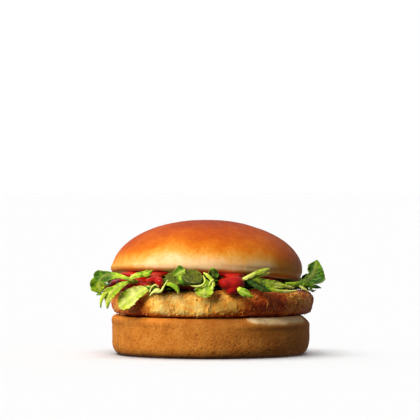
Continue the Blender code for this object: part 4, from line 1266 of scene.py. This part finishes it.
def leaf_arrays(name, spec):
    """A frilled, lobed, veined leaf as a closed plate; verts, faces, attributes."""
    seed = sum(ord(c) for c in name)
    rng = np.random.default_rng(seed)
    nu, nv = spec["grid"]
    t = np.linspace(0, 1, nu)
    s = np.linspace(-1, 1, nv)
    T, S = np.meshgrid(t, s, indexing="ij")
    side, a = np.sign(S), np.abs(S)
    L = np.linalg.norm(np.diff(along(spec["stations"], np.linspace(0, 1, 60)), axis=0), axis=1).sum()
    phase = rng.uniform(0, 1, 8)
    free = smooth(0.22, 0.45, T)
    # lobes: the margin swings in between them, differently on each side
    ph = np.where(side > 0, phase[0], phase[1])
    wave = 0.5 - 0.5 * np.cos(2 * PI * (spec["lobes"] * T + ph
                                        + 0.12 * np.sin(2 * PI * (1.3 * T + phase[2]))))
    lobe = 1 - spec["depth"] * wave ** 1.6 * free
    line = np.stack([T * 40, np.where(side > 0, 3.0, 9.0) * np.ones_like(T),
                     np.full_like(T, seed % 97)], -1)
    teeth = 1 + free * (0.09 * noise(line, 1.1, 7) + 0.07 * noise(line, 0.5, 8))
    base_half = spec["width"] * blade_width(T, spec["root"])
    half = base_half * lobe * teeth
    d = a * half
    T2 = T + spec["sweep"] * d / L * 0.5 * free
    T2 = np.minimum(T2, 1.0)
    mid = along(spec["stations"], T2)
    ahead = (along(spec["stations"], np.minimum(T + 0.012, 1))
             - along(spec["stations"], np.maximum(T - 0.012, 0)))
    ahead /= np.linalg.norm(ahead, axis=-1, keepdims=True)
    tip_face = np.array(spec["face"], float)
    tip_face /= np.linalg.norm(tip_face)
    blend = smooth(0.25, 0.75, T)[..., None]
    face = np.array([0.0, 0.0, 1.0]) * (1 - blend) + tip_face * blend
    face = face - ahead * np.sum(face * ahead, -1, keepdims=True)
    face /= np.linalg.norm(face, axis=-1, keepdims=True)
    across = np.cross(ahead, face)
    R = spec["ruffle"] * free
    w0 = np.maximum(base_half, 0.4 * spec["width"])
    ripple = (np.sin(2 * PI * (2.3 * T + phase[3] + 0.25 * side)) * a ** 1.5
              + 0.55 * np.sin(2 * PI * (5.1 * T + phase[4] + 0.4 * side)) * a ** 2.2
              + 0.30 * np.sin(2 * PI * (10.7 * T + phase[5] + 0.3 * side)) * a ** 3.2)
    lift = spec["cup"] * half * a ** 1.8 * 0.5 + R * w0 * ripple
    pull = 0.35 * R * w0 * a ** 2 * np.cos(2 * PI * (2.3 * T + phase[3] + 0.25 * side))
    p = mid + across * (side * (d - 0.12 * R * d))[..., None] + face * lift[..., None] + ahead * pull[..., None]
    crumple = 0.30 * fbm(p, 4.5, 3, seed % 1000) * free * (0.3 + 0.7 * a)
    p = p + face * crumple[..., None]
    # the midrib is a thick pale stalk that thins to the tip
    rib_w = spec["rib"] * (1.15 - 0.85 * T)
    rib = np.exp(-(d / rib_w) ** 2)
    thick = 0.34 + 1.25 * rib * (1.0 - 0.85 * T) ** 1.3 * min(1.0, spec["rib"])
    gap = crown_cut(p[..., 0], p[..., 1]) - patty_top(p[..., 0], p[..., 1])
    inside = np.hypot(p[..., 0], p[..., 1]) < 49
    thick = np.where(inside, np.minimum(thick, np.maximum(0.34, gap * 0.45)), thick)
    p = clear_of_bread_and_meat(p, 0.08 + 0.5 * thick)
    n = grid_normals(p, False)
    flip = np.sum(n * face) < 0
    if flip:
        n = -n
    # veins sweep forward from the rib and fade at the margin
    line = 7.5 * (T - 0.55 * spec["sweep"] * d / L - 0.10 * a) + np.where(side > 0, 0.0, 0.5)
    frac = np.abs(line - np.round(line))
    vein = np.exp(-(frac / 0.085) ** 2) * (1 - a ** 2) * free * (1 - rib)
    fine_l = 23 * (T + 0.25 * a) + 1.3 * noise(p, 2.0, 71)
    fine = np.exp(-(np.abs(fine_l - np.round(fine_l)) / 0.12) ** 2) * 0.35 * free * (1 - rib)
    thick = thick + 0.10 * vein
    verts, faces = plate(p, n, thick)
    if flip:
        faces = [f[:, ::-1] for f in faces]
    tone = (spec["tone"] + 0.30 * (1 - smooth(0.15, 0.6, T)) * (1 - spec["tone"])
            - 0.16 * smooth(0.35, 0.95, a) * free + 0.16 * smooth(0.93, 1.0, a) * free
            + 0.22 * fbm(p, 7.0, 2, seed % 500))
    attrs = {"tone": np.clip(tone, 0, 1), "rib": np.clip(0.9 * rib * (1.05 - 0.55 * T), 0, 1),
             "vein": np.clip(vein + fine, 0, 1)}
    return verts, faces, {k: np.concatenate([v.ravel()] * 2) for k, v in attrs.items()}


def build_leaves(mat):
    for name, blades in LEAVES.items():
        seed = sum(ord(c) for c in name)
        verts, faces, attrs = join([blade_arrays(b, seed + 31 * i) for i, b in enumerate(blades)])
        mesh_object("leaf" + name[7:], verts, faces, mat, node=name, slot="lettuce", attrs=attrs)
    for name, spec in back_leaves().items():
        verts, faces, attrs = leaf_arrays(name, spec)
        mesh_object("leaf" + name[7:], verts, faces, mat, node=name, slot="lettuce", attrs=attrs)


def build_bed(mat):
    """Torn leaves heaped in the middle: wavy sheets, one over another."""
    verts, faces, base = [], [], 0
    tone, rib, vein = [], [], []
    for k in range(5):
        rows, cols = 30, 160
        r = np.linspace(0.04, 1.0, rows)[:, None] * np.ones(cols)[None, :]
        a = np.ones(rows)[:, None] * np.linspace(0, 2 * PI, cols, endpoint=False)[None, :]
        edge = 30.5 + 2.2 * np.sin(5 * a + k) + 1.6 * np.sin(11 * a + 2 * k) + 1.0 * np.sin(23 * a + 3 * k)
        out = smooth(-0.2, 0.9, np.cos(a - math.radians(-150)))
        edge = edge + (13.5 * out + 8.0 * smooth(0.2, 0.9, np.cos(a + PI / 2))
                       + 12.0 * smooth(0.75, 0.98, np.cos(a + 0.1))) * (1.0 - 0.12 * (k % 2))
        x, y = r * edge * np.cos(a), r * edge * np.sin(a)
        low = patty_top(x, y) + 0.5
        high = crown_cut(x, y) - 1.6
        share = (k + 0.5) / 4
        q = np.stack([x, y, np.zeros_like(x)], -1)
        z = low + (high - low) * np.clip(share + 0.13 * fbm(q, 7.0, 2, 600 + k) * (0.4 + r)
                                         + 0.10 * r ** 2 * np.sin(13 * a + k), 0.02, 0.98)
        p = np.stack([x, y, z], -1)
        top, bottom = p.copy(), p.copy()
        if k == 4:
            # the middle of the heap, patty to sauce
            dome = 0.5 * (1 - (r ** 6) * 0.8)
            top[..., 2] = 0.5 * (low + high) + (high - low) * dome + 0.2 * fbm(q, 3.0, 2, 620)
            bottom[..., 2] = 0.5 * (low + high) - (high - low) * dome
        else:
            top[..., 2] += 0.15
            bottom[..., 2] -= 0.15
        m = rows
        vv = np.concatenate([top.reshape(-1, 3), bottom.reshape(-1, 3),
                             [top[0].mean(axis=0)], [bottom[0].mean(axis=0)]])
        size = m * cols
        j = np.arange(cols)
        kk = (j + 1) % cols
        up = ring_faces(m, cols)[:, ::-1]
        down = ring_faces(m, cols) + size
        last = (m - 1) * cols
        wall = np.stack([last + kk, last + j, last + size + j, last + size + kk], -1)
        ct = np.stack([np.full(cols, 2 * size), j, kk], -1)
        cb = np.stack([np.full(cols, 2 * size + 1), size + kk, size + j], -1)
        verts.append(vv)
        faces.append((np.concatenate([up, down, wall]) + base, np.concatenate([ct, cb]) + base))
        base += len(vv)
        # the heap is a darker green than the front leaves: partly leaf colour, partly painted shade in the gap
        # under the crown
        shade = 0.30 + 0.12 * (k % 2) + 0.3 * fbm(q, 6.0, 2, 610 + k)
        shade = np.concatenate([shade.ravel(), shade.ravel(), [0.3], [0.3]])
        tone.append(np.clip(shade, 0, 1))
        rib.append(np.zeros(len(vv)))
        vein.append(np.zeros(len(vv)))
    return mesh_object("lettuce_heap", np.concatenate(verts),
                       [np.concatenate([f[0] for f in faces]), np.concatenate([f[1] for f in faces])],
                       mat, node="lettuce_bed", slot="lettuce",
                       attrs={"tone": np.concatenate(tone), "rib": np.concatenate(rib),
                              "vein": np.concatenate(vein)})


# ----------------------------------------------------------- floor, light, camera
def build_stage():
    bpy.ops.mesh.primitive_plane_add(size=30.0, location=(0, 0, -0.0001))
    floor = bpy.context.object
    floor.name = "floor"
    k = Look("floor_white", 0.9, Specular_IOR_Level=0.0)
    k.shader.inputs["Base Color"].default_value = (0.85, 0.85, 0.85, 1.0)
    k.shader.inputs["Emission Color"].default_value = (1.0, 1.0, 1.0, 1.0)
    k.shader.inputs["Emission Strength"].default_value = 0.02
    floor.data.materials.append(k.mat)
    # a cut-out studio floor: it shows the burger's shadow, and throws no light back
    floor.visible_diffuse = False
    floor.visible_glossy = False
    floor.visible_transmission = False

    world = bpy.context.scene.world or bpy.data.worlds.new("world")
    bpy.context.scene.world = world
    world.use_nodes = True
    tree = world.node_tree
    tree.nodes.clear()
    new, link = tree.nodes.new, tree.links.new
    out = new("ShaderNodeOutputWorld")
    seen, fill = new("ShaderNodeBackground"), new("ShaderNodeBackground")
    seen.inputs["Color"].default_value = (1, 1, 1, 1)
    seen.inputs["Strength"].default_value = 1.0
    fill.inputs["Color"].default_value = (1, 1, 1, 1)
    # fill: dim in front, brighter behind and above
    split = new("ShaderNodeSeparateXYZ")
    link(new("ShaderNodeTexCoord").outputs["Generated"], split.inputs[0])
    behind, above, total = new("ShaderNodeMapRange"), new("ShaderNodeMapRange"), new("ShaderNodeMath")
    link(split.outputs["Y"], behind.inputs["Value"])
    link(split.outputs["Z"], above.inputs["Value"])
    for node, lo, hi, a, b in ((behind, -0.1, 0.9, 0.0, 0.26), (above, -0.3, 0.8, 0.07, 0.22)):
        node.inputs["From Min"].default_value = lo
        node.inputs["From Max"].default_value = hi
        node.inputs["To Min"].default_value = a
        node.inputs["To Max"].default_value = b
    total.operation = "ADD"
    link(behind.outputs[0], total.inputs[0])
    link(above.outputs[0], total.inputs[1])
    link(total.outputs[0], fill.inputs["Strength"])
    path, mix = new("ShaderNodeLightPath"), new("ShaderNodeMixShader")
    link(path.outputs["Is Camera Ray"], mix.inputs[0])
    link(fill.outputs[0], mix.inputs[1])
    link(seen.outputs[0], mix.inputs[2])
    link(mix.outputs[0], out.inputs[0])
    return floor


def aim(obj, at, target=(0, 0, 0.035)):
    obj.location = at
    obj.rotation_mode = "QUATERNION"
    obj.rotation_quaternion = (Vector(target) - Vector(at)).to_track_quat("-Z", "Y")


def build_lights(floor):
    def place(azimuth, elevation, distance):
        a, e = math.radians(azimuth), math.radians(elevation)
        return (math.sin(a) * math.cos(e) * distance,
                -math.cos(a) * math.cos(e) * distance,
                math.sin(e) * distance)

    def lamp(name, kind, azimuth, elevation, distance, energy):
        data = bpy.data.lights.new(name, kind)
        data.energy = energy
        obj = bpy.data.objects.new(name, data)
        bpy.context.scene.collection.objects.link(obj)
        aim(obj, place(azimuth, elevation, distance))
        return obj

    key = lamp("key", "SUN", -53, 40, 2.0, 4.5)
    key.data.angle = math.radians(42)
    key.visible_glossy = False
    box = lamp("softbox", "AREA", -30, 44, 1.0, 1.8)
    box.data.shape = "RECTANGLE"
    box.data.size, box.data.size_y = 0.08, 0.06
    # the floor has its own overhead light, so the contact shadow lies all round
    top = lamp("floor_light", "SUN", -70, 78, 2.0, 2.8)
    top.data.angle = math.radians(56)
    only = bpy.data.collections.new("floor_only")
    only.objects.link(floor)
    top.light_linking.receiver_collection = only
    others = bpy.data.collections.new("all_but_floor")
    others.objects.link(floor)
    others.collection_objects[0].light_linking.link_state = "EXCLUDE"
    key.light_linking.receiver_collection = others
    box.light_linking.receiver_collection = others


def build_camera():
    """Long lens, a little above the table, the burger low in the frame."""
    distance, height, aim_z, across = 1.6, 0.0905, 0.0733, 0.2142
    cam = bpy.data.cameras.new("camera")
    cam.sensor_width = 36.0
    cam.lens = 36.0 * distance / across
    cam.clip_start, cam.clip_end = 0.05, 60.0
    obj = bpy.data.objects.new("camera", cam)
    bpy.context.scene.collection.objects.link(obj)
    obj.location = (-0.0002, -distance, height)
    obj.rotation_mode = "QUATERNION"
    obj.rotation_quaternion = (Vector((-0.0002, 0, aim_z)) - obj.location).to_track_quat("-Z", "Y")
    bpy.context.scene.camera = obj


def main():
    scene = bpy.context.scene
    scene.view_settings.view_transform = "Standard"
    scene.view_settings.look = "None"
    build_camera()
    build_lights(build_stage())
    breading = breading_look()
    sauce = ketchup_look()
    pickle = pickle_look()
    lettuce = lettuce_look()
    build_crown()
    build_heel()
    build_patty(breading)
    build_crumbs(breading)
    build_crust_shreds(breading)
    build_sauce_smears(sauce)
    build_ketchup(sauce)
    build_pickle("pickle_left", "pickle_slice_left", pickle, (-17.3, -48.2, 39.5), 45, -6, 1)
    build_pickle("pickle_right", "pickle_slice_right", pickle, (-9.0, -51.4, 40.3), 43, 8, 2)
    build_bed(lettuce)
    build_leaves(lettuce)
    bpy.context.view_layer.update()


main()
